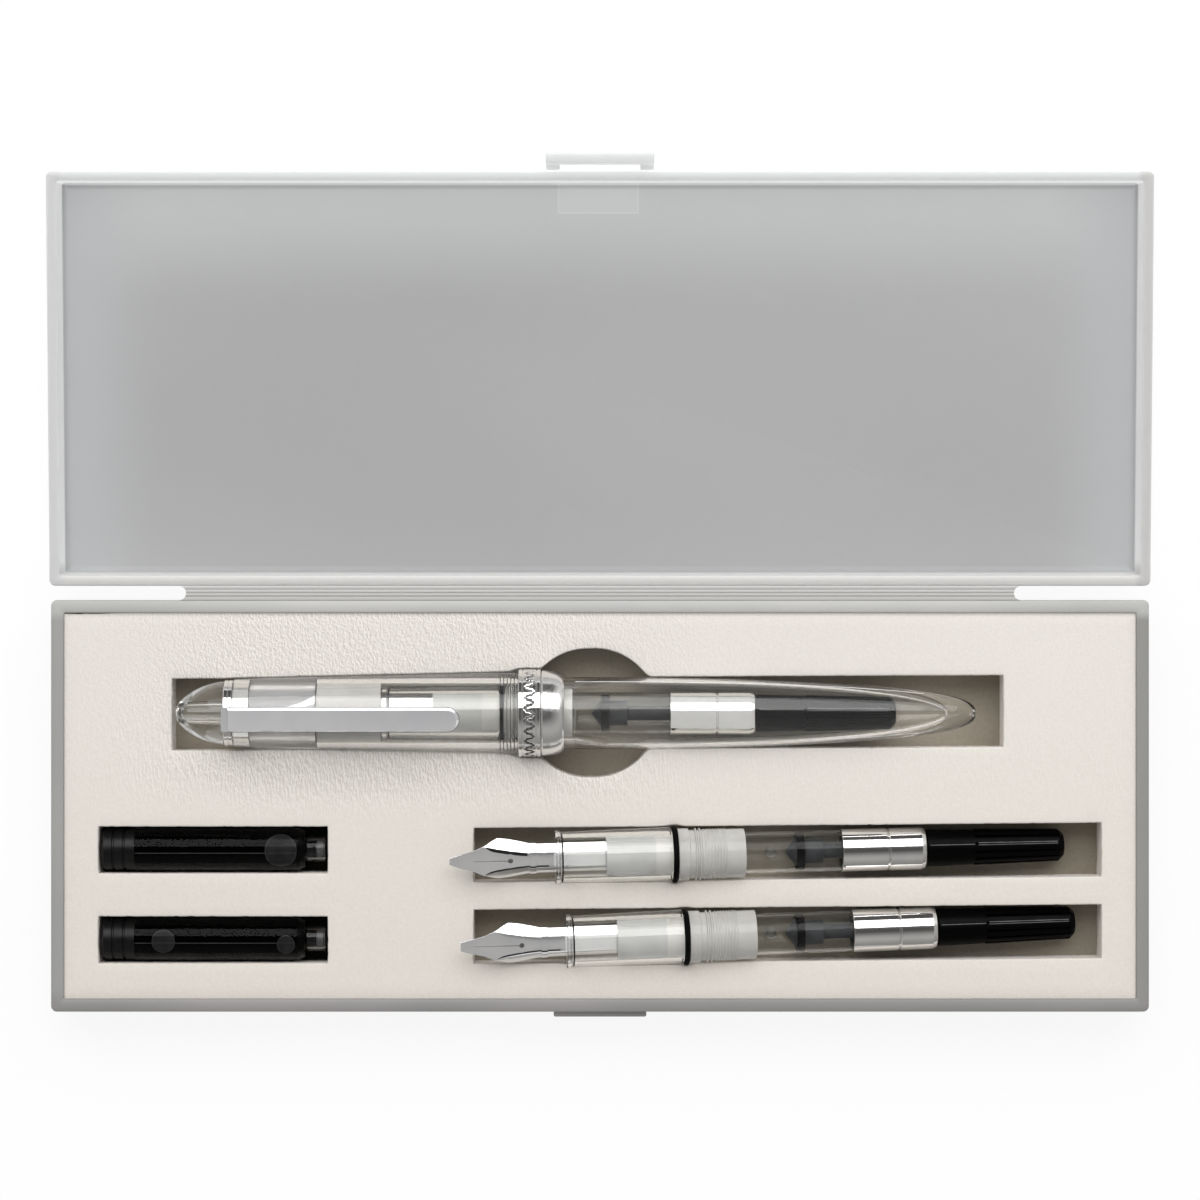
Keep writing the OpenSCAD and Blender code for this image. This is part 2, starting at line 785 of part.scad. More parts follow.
module unit_feed(k) {
  core_r = nib_tail_r - nib_t - fit;
  roll = k == PEN ? 0 : nib_roll;
  color([0.75, 0.76, 0.77])
  place_unit(k)
  rotate([roll, 0, 0])
  turned([
    [feed_nose_at, 0.5], [nib_collar_at - 2, core_r - 0.4], [nib_collar_at, core_r],
    [u_tail_end + fit, core_r], [u_tail_end + fit, feed_rear_r],
    [u_feed_end - fit, feed_rear_r]
  ]);
}

module unit_section(k) {
  ridge_from = u_thread + 2.6;
  color([0.85, 0.85, 0.85])
  place_unit(k) {
    difference() {
      union() {
        turned([
          [u_flange, flange_r - 0.1], [u_flange + 0.1, flange_r],
          [u_flange + lip_w, flange_r], [u_flange + lip_w + 0.1, grip_r0],
          [u_grip, grip_r0], [u_oring - 0.2, grip_r1], [u_oring, grip_r1 - 0.15],
          [u_oring, oring_r - oring_t - fit / 2], [u_thread, oring_r - oring_t - fit / 2],
          [u_thread, thread_r], [u_thread + 2, thread_r],
          [u_thread + 2, thread_r - thread_depth], [u_tube, thread_r - thread_depth]
        ]);
        for (i = [0:thread_count - 1])
          let (u = ridge_from + i * thread_pitch, w = thread_pitch / 3)
          turned([[u - w, thread_r - thread_depth - fit], [u, thread_r],
                  [u + w, thread_r - thread_depth - fit]]);
      }
      round_x(u_flange - over, u_tail_end + fit, nib_tail_r + fit);
      round_x(u_tail_end, u_feed_end, feed_rear_r + fit);
      round_x(u_feed_end - over, u_socket + over, ink_hole_r);
      round_x(u_socket, u_tube + over, tube_r + fit);
    }
    difference() {
      round_x(u_socket - over / 2, u_socket + nipple_len, nipple_r);
      round_x(u_socket - over, u_socket + nipple_len + over, ink_hole_r);
    }
  }
}

module unit_o_ring(k) {
  color([0.06, 0.06, 0.06])
  place_unit(k)
  translate([u_ring_mid, 0, 0])
    rotate([0, 90, 0])
      rotate_extrude()
        translate([oring_r - oring_t / 2, 0])
          circle(d = oring_t - fit);
}

module unit_converter_tube(k) {
  color([0.8, 0.81, 0.82])
  place_unit(k)
  difference() {
    turned([[u_socket + fit, tube_r - 0.3], [u_socket + 0.4, tube_r],
            [u_ferrule - fit, tube_r], [u_ferrule - fit, spigot_r], [u_tube_end, spigot_r]]);
    round_x(u_socket - over, u_socket + tube_mouth_t + over, nipple_r + fit);
    round_x(u_socket + tube_mouth_t, u_tube_end + over, tube_bore_r);
  }
}

module unit_ferrule(k) {
  groove = u_ferrule + ferrule_groove_at;
  color([0.82, 0.82, 0.82])
  place_unit(k)
  difference() {
    turned([
      [u_ferrule, ferrule_r - 0.1], [u_ferrule + 0.15, ferrule_r], [groove - 0.2, ferrule_r],
      [groove, ferrule_r - 0.2], [groove + 0.2, ferrule_r], [u_knob - 1, ferrule_r],
      [u_knob - 0.45, ferrule_r - 0.15], [u_knob - 0.1, ferrule_r - 0.5], [u_knob, knob_r0]
    ]);
    round_x(u_ferrule - over, u_tube_end + fit, spigot_r + fit);
    round_x(u_tube_end - over, u_knob + over, shank_r + run);
  }
}

// The knob turns in the ferrule on a collared shank and draws the rod into its bore
module unit_knob(k) {
  collar_l = 1.5;
  bevel = 0.8;
  u_rib = u_end - rib_len;
  rib_r = knob_r0 + (knob_r1 - knob_r0) * (u_rib - u_knob) / knob_len;
  color([0.05, 0.05, 0.05])
  place_unit(k)
  difference() {
    turned([
      [u_tube_end - collar_l, tube_bore_r - run], [u_tube_end - fit, tube_bore_r - run],
      [u_tube_end - fit, shank_r], [u_knob + fit, shank_r], [u_knob + fit, knob_r0],
      [u_rib, rib_r], [u_rib, rib_r + 0.1], [u_end - bevel, knob_r1 + 0.05],
      [u_end, knob_r1 - bevel]
    ]);
    round_x(u_tube_end - collar_l - over, u_end - 4, rod_r + run);
    for (i = [0:rib_count - 1])
      rotate([360 * i / rib_count, 0, 0])
        translate([u_rib, -0.2, knob_r1 - rib_depth])
          cube([rib_len + over, 0.4, knob_r0]);
  }
}

module unit_piston_seal(k) {
  tip = u_ferrule - seal_gaps[k];
  disc = tip + cone_len;
  body = disc + disc_len;
  color([0.16, 0.17, 0.18])
  place_unit(k)
  difference() {
    turned([[tip, 0.05], [disc, tube_bore_r - 0.6], [disc, tube_bore_r - run],
            [body, tube_bore_r - run], [body, plunger_r], [body + plunger_len, plunger_r]]);
    round_x(body, body + plunger_len + over, rod_r + fit);
  }
}

module unit_piston_rod(k) {
  tip = u_ferrule - seal_gaps[k];
  color([0.3, 0.31, 0.32])
  place_unit(k)
    round_x(tip + cone_len + disc_len + fit, tip + rod_reach, rod_r);
}

module unit_ball(k) {
  tip = u_ferrule - seal_gaps[k];
  color([0.75, 0.76, 0.78])
  place_unit(k)
    translate([tip - ball_ahead, 0, -(tube_bore_r - ball_r - run)])
      sphere(ball_r);
}

// Cartridge pieces are drawn along +X from the tail end
module place_cartridge(k) {
  slack = (cart_slot_l - cart_body_l - cart_neck_l) / 2;
  translate([cart_slot_x + slack, cart_y[k], cart_z])
    children();
}

module cartridge_shell(k) {
  groove_pitch = cart_tail_l / (cart_rings + 1);
  shoulder = 1.5;
  color([0.2, 0.2, 0.21])
  place_cartridge(k)
  difference() {
    turned([
      [0, cart_r - 0.5], [0.3, cart_r - 0.15], [cart_tail_l, cart_r - 0.1],
      [cart_tail_l, cart_r], [cart_body_l - shoulder, cart_r],
      [cart_body_l - 0.4, cart_r - 0.5], [cart_body_l, cart_neck_r + 0.3],
      [cart_body_l, cart_neck_r], [cart_body_l + cart_neck_l, cart_neck_r]
    ]);
    round_x(cart_tail_l, cart_body_l - shoulder, cart_r - cart_wall);
    round_x(cart_body_l - shoulder - over, cart_body_l + cart_neck_l + over,
            cart_neck_r - cart_wall);
    for (i = [1:cart_rings])
      translate([i * groove_pitch, 0, 0])
        difference() {
          round_x(-0.15, 0.15, cart_r + over);
          round_x(-over, over, cart_r - 0.35);
        }
  }
}

module cartridge_ink(k) {
  color([0.02, 0.02, 0.03])
  place_cartridge(k)
    round_x(cart_tail_l + fit, cart_body_l - 1.5 - fit, cart_r - cart_wall - fit);
}

module cartridge_plug(k) {
  mouth = cart_body_l + cart_neck_l;
  color([0.7, 0.71, 0.72])
  place_cartridge(k)
    round_x(mouth - plug_t - 0.3, mouth - 0.3, cart_neck_r - cart_wall - fit / 2);
}

base_tray();
backing_pad();
living_hinge();
lid_shell();
latch_tab();
foam_insert();
pen_finial();
pen_clip_ring();
pen_clip();
pen_clip_bushing();
pen_cap_shell();
pen_inner_cap();
pen_cap_band();
pen_barrel_shell();
pen_barrel_ring();
unit_nib(PEN);  // pen_nib
unit_feed(PEN);  // pen_feed
unit_section(PEN);  // pen_section
unit_o_ring(PEN);  // pen_o_ring
unit_converter_tube(PEN);  // pen_converter_tube
unit_ferrule(PEN);  // pen_ferrule
unit_knob(PEN);  // pen_knob
unit_piston_seal(PEN);  // pen_piston_seal
unit_piston_rod(PEN);  // pen_piston_rod
unit_nib(SPARE_1);  // spare_1_nib
unit_feed(SPARE_1);  // spare_1_feed
unit_section(SPARE_1);  // spare_1_section
unit_o_ring(SPARE_1);  // spare_1_o_ring
unit_converter_tube(SPARE_1);  // spare_1_converter_tube
unit_ferrule(SPARE_1);  // spare_1_ferrule
unit_knob(SPARE_1);  // spare_1_knob
unit_piston_seal(SPARE_1);  // spare_1_piston_seal
unit_piston_rod(SPARE_1);  // spare_1_piston_rod
unit_ball(SPARE_1);  // spare_1_ball
unit_nib(SPARE_2);  // spare_2_nib
unit_feed(SPARE_2);  // spare_2_feed
unit_section(SPARE_2);  // spare_2_section
unit_o_ring(SPARE_2);  // spare_2_o_ring
unit_converter_tube(SPARE_2);  // spare_2_converter_tube
unit_ferrule(SPARE_2);  // spare_2_ferrule
unit_knob(SPARE_2);  // spare_2_knob
unit_piston_seal(SPARE_2);  // spare_2_piston_seal
unit_piston_rod(SPARE_2);  // spare_2_piston_rod
unit_ball(SPARE_2);  // spare_2_ball
cartridge_shell(1);  // cartridge_1_shell
cartridge_ink(1);  // cartridge_1_ink
cartridge_plug(1);  // cartridge_1_plug
cartridge_shell(2);  // cartridge_2_shell
cartridge_ink(2);  // cartridge_2_ink
cartridge_plug(2);  // cartridge_2_plug
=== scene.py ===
"""Looks of the calligraphy set box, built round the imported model. Profiles are in millimetres."""

import json
import math
from itertools import product

import bmesh
import bpy
from mathutils import Matrix, Vector, noise
from mathutils.geometry import delaunay_2d_cdt

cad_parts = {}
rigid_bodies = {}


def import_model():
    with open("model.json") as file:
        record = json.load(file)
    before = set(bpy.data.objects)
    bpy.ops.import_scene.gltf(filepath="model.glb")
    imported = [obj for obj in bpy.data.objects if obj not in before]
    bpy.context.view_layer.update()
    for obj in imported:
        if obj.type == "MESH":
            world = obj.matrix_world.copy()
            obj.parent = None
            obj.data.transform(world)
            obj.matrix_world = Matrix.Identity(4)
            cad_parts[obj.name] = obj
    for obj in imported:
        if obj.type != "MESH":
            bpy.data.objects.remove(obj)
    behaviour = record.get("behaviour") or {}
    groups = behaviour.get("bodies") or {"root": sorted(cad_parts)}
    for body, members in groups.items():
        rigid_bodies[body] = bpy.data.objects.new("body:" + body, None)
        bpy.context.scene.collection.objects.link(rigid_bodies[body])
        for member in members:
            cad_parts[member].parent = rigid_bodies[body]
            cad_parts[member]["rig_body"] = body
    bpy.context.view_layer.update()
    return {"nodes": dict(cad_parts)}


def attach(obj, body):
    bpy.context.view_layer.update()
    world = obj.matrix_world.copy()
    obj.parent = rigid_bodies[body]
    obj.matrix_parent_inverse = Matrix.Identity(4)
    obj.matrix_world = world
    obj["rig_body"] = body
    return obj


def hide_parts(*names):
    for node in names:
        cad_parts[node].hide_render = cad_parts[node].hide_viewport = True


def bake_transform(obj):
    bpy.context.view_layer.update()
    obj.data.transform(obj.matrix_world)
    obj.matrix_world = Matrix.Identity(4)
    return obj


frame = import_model()

MM = 0.001
TURN = 2 * math.pi
WHITE = (1, 1, 1, 1)

# Places that both materials and meshes need, in millimetres and degrees

HINGE_Y, HINGE_Z = 36.45, 12.5
LID_TILT = 4
# heights over the hinge axis in the lid's own frame: outer face, inner face and rim
LID_BACK, LID_FACE, LID_RIM = -10.5, -8.9, -0.1
CARTRIDGE_YS = (-7.6, -23.0)


def rad(degrees):
    return math.radians(degrees)


def moved(x, y, z):
    return Matrix.Translation((x, y, z))


def turned_by(degrees, axis):
    return Matrix.Rotation(rad(degrees), 4, axis)


def srgb(*levels):
    """A colour given in the 0 to 255 levels of a screen, as Blender's linear colour."""
    linear = [((v / 255 + 0.055) / 1.055) ** 2.4 if v > 10 else v / 255 / 12.92 for v in levels]
    return (*linear, 1.0)


def grey(level):
    return (level, level, level, 1)


# Materials


class Tree:
    """The node tree of a new material or world, with short calls."""

    def __init__(self, name, kind="Material"):
        self.owner = (bpy.data.worlds if kind == "World" else bpy.data.materials).new(name)
        self.owner.use_nodes = True
        self.nodes, self.links = self.owner.node_tree.nodes, self.owner.node_tree.links
        self.nodes.clear()
        self.output = self.nodes.new("ShaderNodeOutput" + kind)
        self.place = self.add("TexCoord", out="Object")

    def add(self, kind, inputs=(), out=0, **settings):
        node = self.nodes.new("ShaderNode" + kind)
        for key, value in settings.items():
            setattr(node, key, value)
        for key, value in dict(inputs).items():
            if isinstance(value, bpy.types.NodeSocket):
                self.links.new(value, node.inputs[key])
            else:
                node.inputs[key].default_value = value
        return node.outputs[out]

    def noise(self, scale, detail=2.0, rough=0.5, at=None):
        inputs = {"Vector": at or self.place, "Scale": scale, "Detail": detail, "Roughness": rough}
        return self.add("TexNoise", inputs)

    def span(self, value, low, high, to_low=0.0, to_high=1.0):
        inputs = {"Value": value, 1: low, 2: high, 3: to_low, 4: to_high}
        return self.add("MapRange", inputs, interpolation_type="SMOOTHSTEP")

    def math(self, operation, a, b=0.0):
        return self.add("Math", {0: a, 1: b}, operation=operation)

    def times(self, a, b):
        return self.math("MULTIPLY", a, b)

    def mix(self, factor, a, b, blend="MIX"):
        inputs = {0: factor, 6: a, 7: b}
        return self.add("Mix", inputs, out=2, data_type="RGBA", blend_type=blend)

    def grade(self, value, low, high, first, last):
        """One screen colour that turns into another as the value goes from low to high."""
        return self.mix(self.span(value, low, high), srgb(*first), srgb(*last))

    def tinted(self, colour, *levels):
        return self.mix(1.0, colour, srgb(*levels), "MULTIPLY")

    def mottled(self, share, colour, *levels):
        """A colour with patches of its tinted self."""
        return self.mix(share, colour, self.tinted(colour, *levels))

    def split(self, vector=None):
        node = self.nodes.new("ShaderNodeSeparateXYZ")
        self.links.new(vector or self.place, node.inputs[0])
        return node.outputs

    def scaled(self, x, y, z):
        return self.add("Mapping", {"Vector": self.place, "Scale": (x, y, z)})

    def bump(self, height, distance, strength=1.0, normal=None):
        inputs = {"Height": height, "Distance": distance, "Strength": strength}
        if normal:
            inputs["Normal"] = normal
        return self.add("Bump", inputs)

    def choose(self, ray, shader, other):
        """The other shader for one kind of ray, or for a mix of kinds."""
        share = self.add("LightPath", out=ray) if isinstance(ray, str) else ray
        return self.add("MixShader", {0: share, 1: shader, 2: other})

    def show(self, shader):
        self.links.new(shader, self.output.inputs["Surface"])
        return self.owner

    def finish(self, inputs, clear_to_lamps=None):
        shader = self.add("BsdfPrincipled", inputs)
        if clear_to_lamps:
            lets = self.add("BsdfTransparent", {"Color": clear_to_lamps})
            shader = self.choose("Is Shadow Ray", shader, lets)
        return self.show(shader)


def frosted(t):
    """The case's fine frosted grain."""
    frost = t.noise(7000, 2)
    return {"Roughness": t.span(frost, 0.2, 0.8, 0.4, 0.52), "IOR": 1.49,
            "Specular IOR Level": 0.3, "Normal": t.bump(frost, 0.000008)}


def tray_plastic():
    t = Tree("tray_plastic")
    x, y, _ = t.split()
    # painted shade: the tray is given a darker grey than the lid of the same plastic, for the light
    # that the foam beside its walls keeps out
    colour = t.grade(x, -0.09, 0.09, (155, 154, 152), (143, 142, 139))
    front = t.grade(t.noise(25, 1), 0.4, 0.6, (149, 146, 145), (143, 141, 139))
    colour = t.mix(t.span(y, -0.034, -0.031), front, colour)
    # painted light: the rear rim is painted lighter
    rear = t.grade(t.math("ABSOLUTE", x), 0.055, 0.085, (188, 187, 184), (179, 179, 175))
    colour = t.mix(t.span(y, 0.0315, 0.0336), colour, rear)
    colour = t.mottled(t.span(t.noise(45, 3), 0.35, 0.65), colour, 248, 249, 250)
    return t.finish({"Base Color": colour, **frosted(t)}, clear_to_lamps=grey(0.55))


def lid_plastic(name, lamps, glow, spread):
    """Frosted plastic that lets the share lamps of the light through.

    Faces turned from the lamp behind the box glow with painted light, for the lamp light that comes
    through the plastic, and the rest glow by spread.
    """
    t = Tree(name)
    tilt = rad(LID_TILT)
    x, y, _ = t.split()
    up = t.add("VectorMath", {0: t.place, 1: (0, -math.sin(tilt), math.cos(tilt))}, out=1,
               operation="DOT_PRODUCT")
    # height over the lid's inner face
    axis = (math.cos(tilt) * HINGE_Z - math.sin(tilt) * HINGE_Y) * MM
    rise = t.math("SUBTRACT", up, axis + LID_FACE * MM)
    blot = t.noise(9, 1, at=t.scaled(0.7, 1.3, 1))
    panel = t.grade(blot, 0.35, 0.65, (165, 165, 166), (171, 171, 172))
    # painted light: the panel is painted lighter near the rear wall and the side walls, for the
    # light that comes through them
    panel = t.mix(t.span(y, 0.085, 0.108), panel, srgb(187, 188, 188))
    side = t.math("ABSOLUTE", x)
    panel = t.mix(t.span(side, 0.075, 0.093), panel, srgb(176, 177, 178))
    # painted light: the thumb recess in the outer face shows through as a paler patch with a painted
    # bright edge, for the light that comes through the thinner plastic
    from_side = t.math("SUBTRACT", 0.00695, t.math("ABSOLUTE", t.math("ADD", x, 0.0003)))
    from_front = t.math("SUBTRACT", y, 0.1018)
    within = t.math("MINIMUM", from_side, from_front)
    recess_light = t.span(within, -0.00004, 0.00004, 0, 0.16)
    edge = t.times(t.span(within, 0.0001, 0.00035, 0.25, 0), t.span(within, -0.00005, 0))
    panel = t.mix(t.math("ADD", recess_light, edge), panel, srgb(212, 213, 213))
    rim = t.grade(y, 0.04, 0.105, (203, 202, 200), (204, 205, 205))
    flank = t.grade(x, -0.01, 0.01, (197, 197, 198), (191, 190, 189))
    rim = t.mix(t.span(side, 0.0912, 0.0925), rim, flank)
    # painted light: the inner walls are painted nearly white, for the light that comes through them,
    # and the front wall that faces the lamp less so
    wall = t.mix(t.span(y, 0.0398, 0.0425, 0.2, 0.85), rim, srgb(253, 253, 253))
    # painted light and shade: the panel's darker grey stands for the shadow under the thin plastic,
    # and the lighter walls and rim for the light the thick walls carry
    colour = t.mix(t.span(rise, 0.0003, 0.0022), panel, wall)
    colour = t.mix(t.span(rise, 0.0083, 0.0088), colour, rim)
    # painted light: faces near the rear wall that are turned from the lamp glow, for the lamp light
    # that comes through the plastic
    facing = t.split(t.add("TexCoord", out="Normal"))[1]
    lit = t.times(t.span(facing, -0.9, -0.15, 1, 0), t.span(y, 0.1, 0.104))
    lit = t.times(lit, t.span(rise, 0.00005, 0.0003))
    return t.finish({
        "Base Color": colour, **frosted(t), "Emission Color": WHITE,
        "Emission Strength": t.span(lit, 0, 1, spread, glow), "Subsurface Weight": 0.5,
        "Subsurface Radius": (1, 1, 1), "Subsurface Scale": 0.0025},
        clear_to_lamps=grey(lamps))


def hinge_plastic():
    t = Tree("hinge_plastic")
    _, y, z = t.split()
    colour = t.grade(y, 0.03525, 0.0376, (179, 178, 175), (192, 191, 189))
    # painted shade: the grooves are painted a little darker
    colour = t.mix(t.span(z, 0.01226, 0.01239), t.tinted(colour, 226, 226, 226), colour)
    streak = t.noise(400, 2, at=t.scaled(0.05, 1, 1))
    return t.finish({
        "Base Color": colour, "Roughness": t.span(streak, 0.3, 0.7, 0.3, 0.45),
        "Specular IOR Level": 0.3, "Normal": t.bump(streak, 0.00001)},
        clear_to_lamps=grey(0.8))


def foam():
    t = Tree("foam")
    x, y, _ = t.split()
    # the foam is a little lighter to the right, and painted lighter towards the rear, where the lamp
    # behind the box stands
    colour = t.grade(x, -0.09, 0.09, (221, 216, 210), (224, 219, 213))
    colour = t.mix(t.span(y, -0.033, 0.033), t.tinted(colour, 251, 250, 248), colour)
    cells = t.noise(2600, 3)
    colour = t.mottled(t.span(cells, 0.3, 0.7, 0, 0.35), colour, 240, 238, 234)
    # fine upright creases, strongest round the pen's left half and fading out elsewhere
    where = t.times(t.span(x, -0.02, 0.03, 1, 0.12), t.span(y, -0.004, 0.006, 0.05, 1))
    where = t.times(where, t.span(t.noise(70, 2), 0.3, 0.5, 0.6, 1))
    where = t.times(where, t.span(x, -0.09, -0.06, 0.2, 1))

    def creases(shift):
        """The creases moved aside. They are longer in front of the pen than behind it."""
        def drawn(stretch):
            at = t.add("Mapping", {"Vector": t.place, "Location": (shift, shift * 0.5, 0),
                                   "Scale": (1.0, stretch, 0.05)})
            return t.add("TexNoise", {"Vector": at, "Scale": 2700.0, "Detail": 2.5,
                                      "Distortion": 0.6})
        return t.mix(t.span(y, 0.012, 0.018), drawn(0.3), drawn(0.6))
    height = creases(0.0)
    # painted light and shade: each crease is lighter on one flank and darker on the other
    slope = t.math("SUBTRACT", height, creases(0.00012))
    crease_light_and_shade = t.grade(slope, -0.13, 0.13, (180, 172, 162), (246, 243, 238))
    colour = t.mix(t.times(where, 0.45), colour, crease_light_and_shade)
    normal = t.bump(cells, 0.00002, 0.4, t.bump(height, 0.00008, where))
    return t.finish({
        "Base Color": colour, "Roughness": 0.9, "Specular IOR Level": 0.15,
        "Sheen Weight": 0.08, "Sheen Roughness": 0.6, "Normal": normal})


def backing():
    t = Tree("backing")
    x, y, _ = t.split()
    fibre = t.noise(1800, 4, 0.6)
    colour = t.grade(t.noise(60, 2), 0.3, 0.7, (140, 133, 120), (150, 143, 131))
    colour = t.mottled(t.span(fibre, 0.3, 0.7, 0, 0.5), colour, 232, 230, 226)
    # painted shade: in the cartridge slots the pad is painted nearly black, for the shade of the
    # cartridges that fill them
    in_slots = t.span(x, -0.0455, -0.0445, 1, 0)
    for middle in CARTRIDGE_YS:
        away = t.math("ABSOLUTE", t.math("SUBTRACT", y, middle * MM))
        dark = t.times(in_slots, t.span(away, 0.0041, 0.0046, 1, 0))
        colour = t.mix(dark, colour, srgb(30, 29, 27))
    return t.finish({
        "Base Color": colour, "Roughness": 0.92, "Specular IOR Level": 0.1,
        "Normal": t.bump(fibre, 0.00005, 0.5)})


def clear_plastic(name, colour, mirror=0.7, lamps=grey(0.93), wave=0.000004):
    """Clear moulded plastic, with the faint unevenness of a moulding."""
    t = Tree(name)
    flow = t.noise(260, 1, at=t.scaled(0.25, 1, 1))
    tint = t.mottled(t.span(flow, 0.3, 0.7), colour, 251, 251, 250)
    return t.finish({
        "Base Color": tint, "Roughness": t.span(flow, 0.3, 0.7, 0.0, 0.02), "IOR": 1.49,
        "Transmission Weight": 1.0, "Specular Tint": grey(mirror),
        "Normal": t.bump(flow, wave)}, clear_to_lamps=lamps)


def milky_plastic(name, colour, rough, weight, lamps):
    """Milky see-through plastic."""
    t = Tree(name)
    cloud = t.span(t.noise(300, 2), 0.35, 0.65)
    return t.finish({
        "Base Color": t.mottled(cloud, colour, 246, 246, 245), "IOR": 1.45,
        "Roughness": t.span(cloud, 0, 1, rough, rough + 0.05),
        "Transmission Weight": weight, "Specular IOR Level": 0.4}, clear_to_lamps=lamps)


def metal(name, colour, rough, grain=(1, 1, 1), depth=0.0000015, plated=1.0):
    """Bright plated or polished metal with a faint grain. Satin plating is less than fully metal."""
    t = Tree(name)
    lines = t.noise(2400, 2, at=t.scaled(*grain))
    haze = t.span(t.noise(180, 2), 0.3, 0.7)
    return t.finish({
        "Base Color": t.mottled(haze, colour, 247, 247, 248), "Metallic": plated,
        "Roughness": t.span(lines, 0.3, 0.7, rough, rough * 1.5 + 0.01),
        "Normal": t.bump(lines, depth)})


def dark_plastic(name, colour, rough, shine=0.25):
    """Moulded black or dark plastic or rubber, and the fine lines on clear pieces that paint
    highlights and shade.
    """
    t = Tree(name)
    patina = t.span(t.noise(500, 2), 0.3, 0.7)
    return t.finish({
        "Base Color": t.mottled(patina, colour, 215, 217, 220), "Specular IOR Level": shine,
        "Roughness": t.span(patina, 0, 1, rough, rough * 1.3 + 0.01)})


TRAY = tray_plastic()
LID = lid_plastic("lid_plastic", 0.93, 0.28, 0.0)
# painted light: the latch glows a little all over as well
LATCH = lid_plastic("latch_plastic", 0.96, 0.3, 0.04)
HINGE = hinge_plastic()
FOAM = foam()
BACKING = backing()
CLEAR = clear_plastic("clear_acrylic", srgb(254, 254, 253), 0.75)
TUBE = clear_plastic("converter_clear", srgb(242, 242, 240), 0.25)
SMOKE = clear_plastic("cartridge_clear", srgb(120, 120, 120), 0.16, grey(0.1), 0.000001)
NECK = clear_plastic("cartridge_neck", srgb(215, 215, 215), 0.4, grey(0.3))
MILK = milky_plastic("milky_clear", srgb(206, 204, 200), 0.08, 0.3, (0.8, 0.8, 0.79, 1))
LINER = milky_plastic("inner_cap_clear", srgb(192, 190, 187), 0.05, 0.4, grey(0.92))
HAZE = milky_plastic("cap_bore_haze", srgb(226, 226, 227), 0.1, 0.7, grey(0.92))
FEED = milky_plastic("feed_clear", srgb(200, 200, 199), 0.1, 0.4, (0.75, 0.75, 0.74, 1))
CHROME = metal("chrome", srgb(240, 239, 237), 0.05)
SATIN = metal("clip_chrome", srgb(236, 236, 238), 0.14, depth=0.0000002, plated=0.62)
ENGRAVED = metal("engraved_chrome", srgb(96, 96, 97), 0.3)
POLISHED = metal("ring_chrome", srgb(240, 239, 238), 0.14)
STEEL = metal("nib_steel", srgb(230, 230, 230), 0.09, (0.15, 1, 1), 0.000002, 0.8)
RUBBER = dark_plastic("black_rubber", srgb(6, 6, 6), 0.6, 0.06)
BLACK = dark_plastic("black_gloss", srgb(3, 3, 3), 0.3, 0.05)
TAIL = dark_plastic("cartridge_tail", srgb(9, 9, 9), 0.3, 0.25)
# painted reflection: the dark line along the nib's fold
FOLD_REFLECTION = dark_plastic("nib_fold_dark_reflection", srgb(28, 27, 26), 0.3, 0.3)
# painted lines: grey lines that paint highlights on dark pieces and dark lines on clear and chrome
# ones
PAINTED_LINE_GREY = dark_plastic("painted_line", srgb(84, 84, 84), 0.3, 0.3)
# painted highlight: white lines along the barrel and on the clip's front bevel
GLINT = dark_plastic("painted_white_line", srgb(250, 250, 249), 0.3, 0.5)
SEAL = dark_plastic("seal_dark", srgb(50, 51, 54), 0.4)
DISC = dark_plastic("seal_disc", srgb(6, 6, 6), 0.5, 0.0)
ROD = dark_plastic("rod_dark", srgb(48, 49, 52), 0.4)
INK = dark_plastic("ink", srgb(2, 2, 2), 0.5, 0.0)
BUBBLE = dark_plastic("bubble", srgb(98, 98, 98), 0.4)
BUBBLE_HIGHLIGHT = dark_plastic("bubble_highlight", srgb(122, 122, 122), 0.4)
PLUG = milky_plastic("plug_smoky", srgb(130, 130, 130), 0.15, 0.3, grey(0.4))


# Mesh helpers


def link(name, data):
    """An object in the scene, for a mesh, lamp or camera."""
    piece = bpy.data.objects.new(name, data)
    bpy.context.scene.collection.objects.link(piece)
    return piece


def make(name, verts, faces, materials, body, nodes=(), place=Matrix(), *, slot, picks=None,
         sharp=38, bevel=0.0):
    """A mesh piece from points in millimetres, riding on a body."""
    mesh = bpy.data.meshes.new(name)
    mesh.from_pydata([(place @ Vector(v)) * MM for v in verts], [], faces)
    for material in materials if isinstance(materials, (list, tuple)) else [materials]:
        mesh.materials.append(material)
    if picks:
        mesh.polygons.foreach_set("material_index", picks)
    bm = bmesh.new()
    bm.from_mesh(mesh)
    bmesh.ops.remove_doubles(bm, verts=bm.verts, dist=2e-7)
    bmesh.ops.recalc_face_normals(bm, faces=bm.faces)
    if bevel:
        bmesh.ops.dissolve_limit(bm, angle_limit=rad(1), verts=bm.verts, edges=bm.edges)
        edges = [e for e in bm.edges if len(e.link_faces) == 2 and e.calc_face_angle() > rad(20)]
        bmesh.ops.bevel(bm, geom=edges, offset=bevel * MM, segments=3, profile=0.5,
                        affect="EDGES", clamp_overlap=True)
    for face in bm.faces:
        face.smooth = True
    bm.to_mesh(mesh)
    bm.free()
    mesh.set_sharp_from_angle(angle=rad(sharp))
    piece = link(name, mesh)
    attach(piece, body)
    if nodes:
        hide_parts(*nodes)
    return piece


def bent(a, corner, b, t):
    """A point of the curve from a to b that bends towards the corner."""
    return a * (1 - t) ** 2 + corner * 2 * t * (1 - t) + b * t * t


